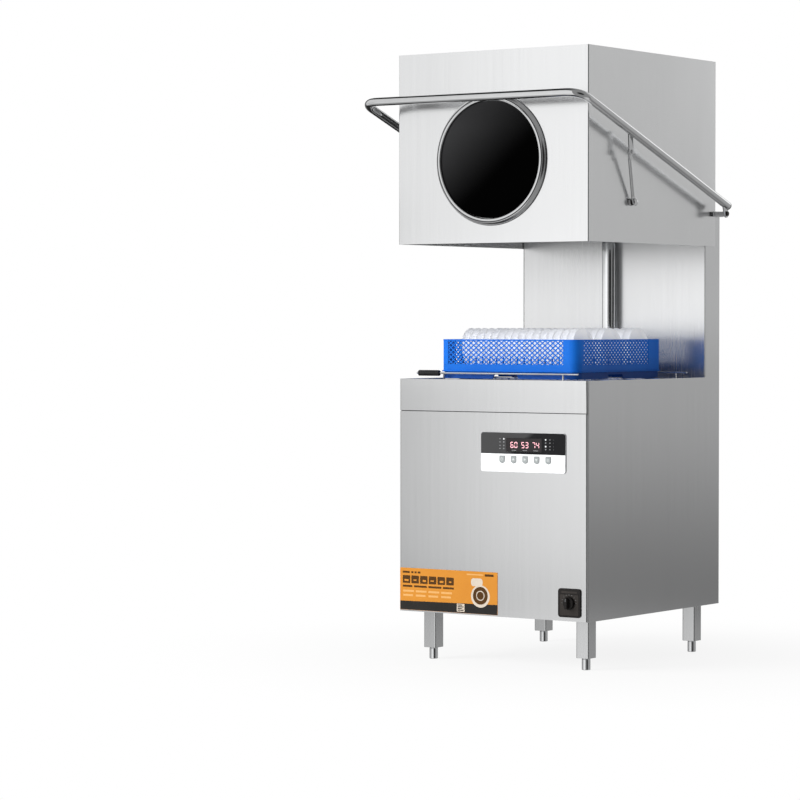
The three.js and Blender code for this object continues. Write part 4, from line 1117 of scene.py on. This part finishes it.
def steps(tree, value, low, high, stops):
    """A smooth run of levels along a value between low and high."""
    ramp = tree.nodes.new("ShaderNodeValToRGB")
    ramp.color_ramp.interpolation = "EASE"
    marks = ramp.color_ramp.elements
    while len(marks) < len(stops):
        marks.new(0.5)
    for mark, (at, tone) in zip(marks, stops):
        mark.position = (at - low) / (high - low)
        mark.color = (tone, tone, tone, 1)
    tree.links.new(remap(tree, value, low, high), ramp.inputs["Fac"])
    return ramp.outputs["Color"]


def reflector(name, azimuth, distance, half, low, high):
    """A large card beside the object, seen only in reflections and as light."""
    mat, tree, shine, out, where = emitter(name)
    tree.links.new(shine.outputs[0], out.inputs["Surface"])
    card_obj = stage_plane(name, [(-half, 0, low), (half, 0, low), (half, 0, high), (-half, 0, high)], mat)
    a = math.radians(azimuth)
    card_obj.location = (distance * math.cos(a), distance * math.sin(a), 0)
    card_obj.rotation_euler = (0, 0, a + math.pi / 2)
    card_obj.visible_camera = False
    card_obj.visible_shadow = False
    card_obj.visible_diffuse = False
    return tree, shine.inputs["Strength"], xyz(tree, where)


# front-left card: a bright upper part, and a lower part that falls off to the left
tree, strength, at = reflector("card_front", 234.8, 1.6, 1.9, -1.0, 3.2)
across = steps(tree, at["X"], -0.9, 0.9,
               [(-0.9, 0.42), (-0.15, 0.54), (0.25, 0.78), (0.5, 0.88), (0.9, 0.95)])
above = steps(tree, at["X"], -0.9, 0.9, [(-0.9, 0.89), (-0.1, 0.89), (0.5, 1.04), (0.9, 1.06)])
lower = steps(tree, at["Z"], -0.3, 0.6, [(-0.3, 1.0), (-0.03, 0.95), (0.05, 0.76), (0.3, 0.98), (0.6, 1.04)])
blend_z = steps(tree, at["Z"], 0.7, 1.1, [(0.84, 0.0), (1.0, 1.0)])
pick = tree.nodes.new("ShaderNodeMix")
for key, value in (("Factor", blend_z), ("A", math_node(tree, "MULTIPLY", across, lower)), ("B", above)):
    tree.links.new(value, pick.inputs[key])
middle = steps(tree, at["Z"], 0.8, 1.6, [(0.84, 1.0), (0.96, 1.14), (1.2, 1.14), (1.3, 1.0), (1.5, 1.0)])
lift = math_node(tree, "MULTIPLY", pick.outputs["Result"], middle)
eave_z = steps(tree, at["Z"], 1.0, 1.6, [(1.16, 0.0), (1.32, 0.42), (1.4, 0.42), (1.5, 0.0)])
eave_x = steps(tree, at["X"], -0.9, 0.2, [(-0.9, 1.0), (-0.2, 1.0), (-0.1, 0.0)])
keep = math_node(tree, "SUBTRACT", 1.0, math_node(tree, "MULTIPLY", eave_z, eave_x))
tree.links.new(math_node(tree, "MULTIPLY", lift, keep), strength)

# back-right card: darker towards the floor, with a bright upright strip above
tree, strength, at = reflector("card_side", 58.2, 1.5, 1.3, -1.0, 3.2)
rise = steps(tree, at["Z"], -0.4, 2.4,
             [(-0.4, 0.36), (-0.04, 0.35), (0.06, 0.21), (0.85, 0.43), (1.1, 0.52), (1.35, 0.51),
              (2.0, 0.555)])
strip = steps(tree, at["X"], -0.2, 0.8, [(0.02, 0.0), (0.16, 1.1), (0.42, 1.1), (0.58, 0.0)])
gate = steps(tree, at["Z"], 1.0, 2.0, [(1.4, 0.0), (1.55, 1.0)])
tree.links.new(math_node(tree, "MULTIPLY_ADD", strip, gate, rise), strength)

# floor: white, and only a soft shading close to the object
floor_mat, tree, shine, out, where = emitter("floor")
shine.inputs["Strength"].default_value = 1.0
matt = tree.nodes.new("ShaderNodeBsdfDiffuse")
matt.inputs["Color"].default_value = (0.92, 0.92, 0.92, 1)
far = tree.nodes.new("ShaderNodeVectorMath")
far.operation = "LENGTH"
tree.links.new(where, far.inputs[0])
fade = remap(tree, far.outputs["Value"], 0.2, 1.5, 0.86, 1.0, "SMOOTHSTEP")
tree.links.new(mix_shader(tree, fade, matt.outputs[0], shine.outputs[0]), out.inputs["Surface"])
corners = [(-30, -30, 0), (30, -30, 0), (30, 30, 0), (-30, 30, 0)]
stage_plane("floor", corners, floor_mat).visible_glossy = False
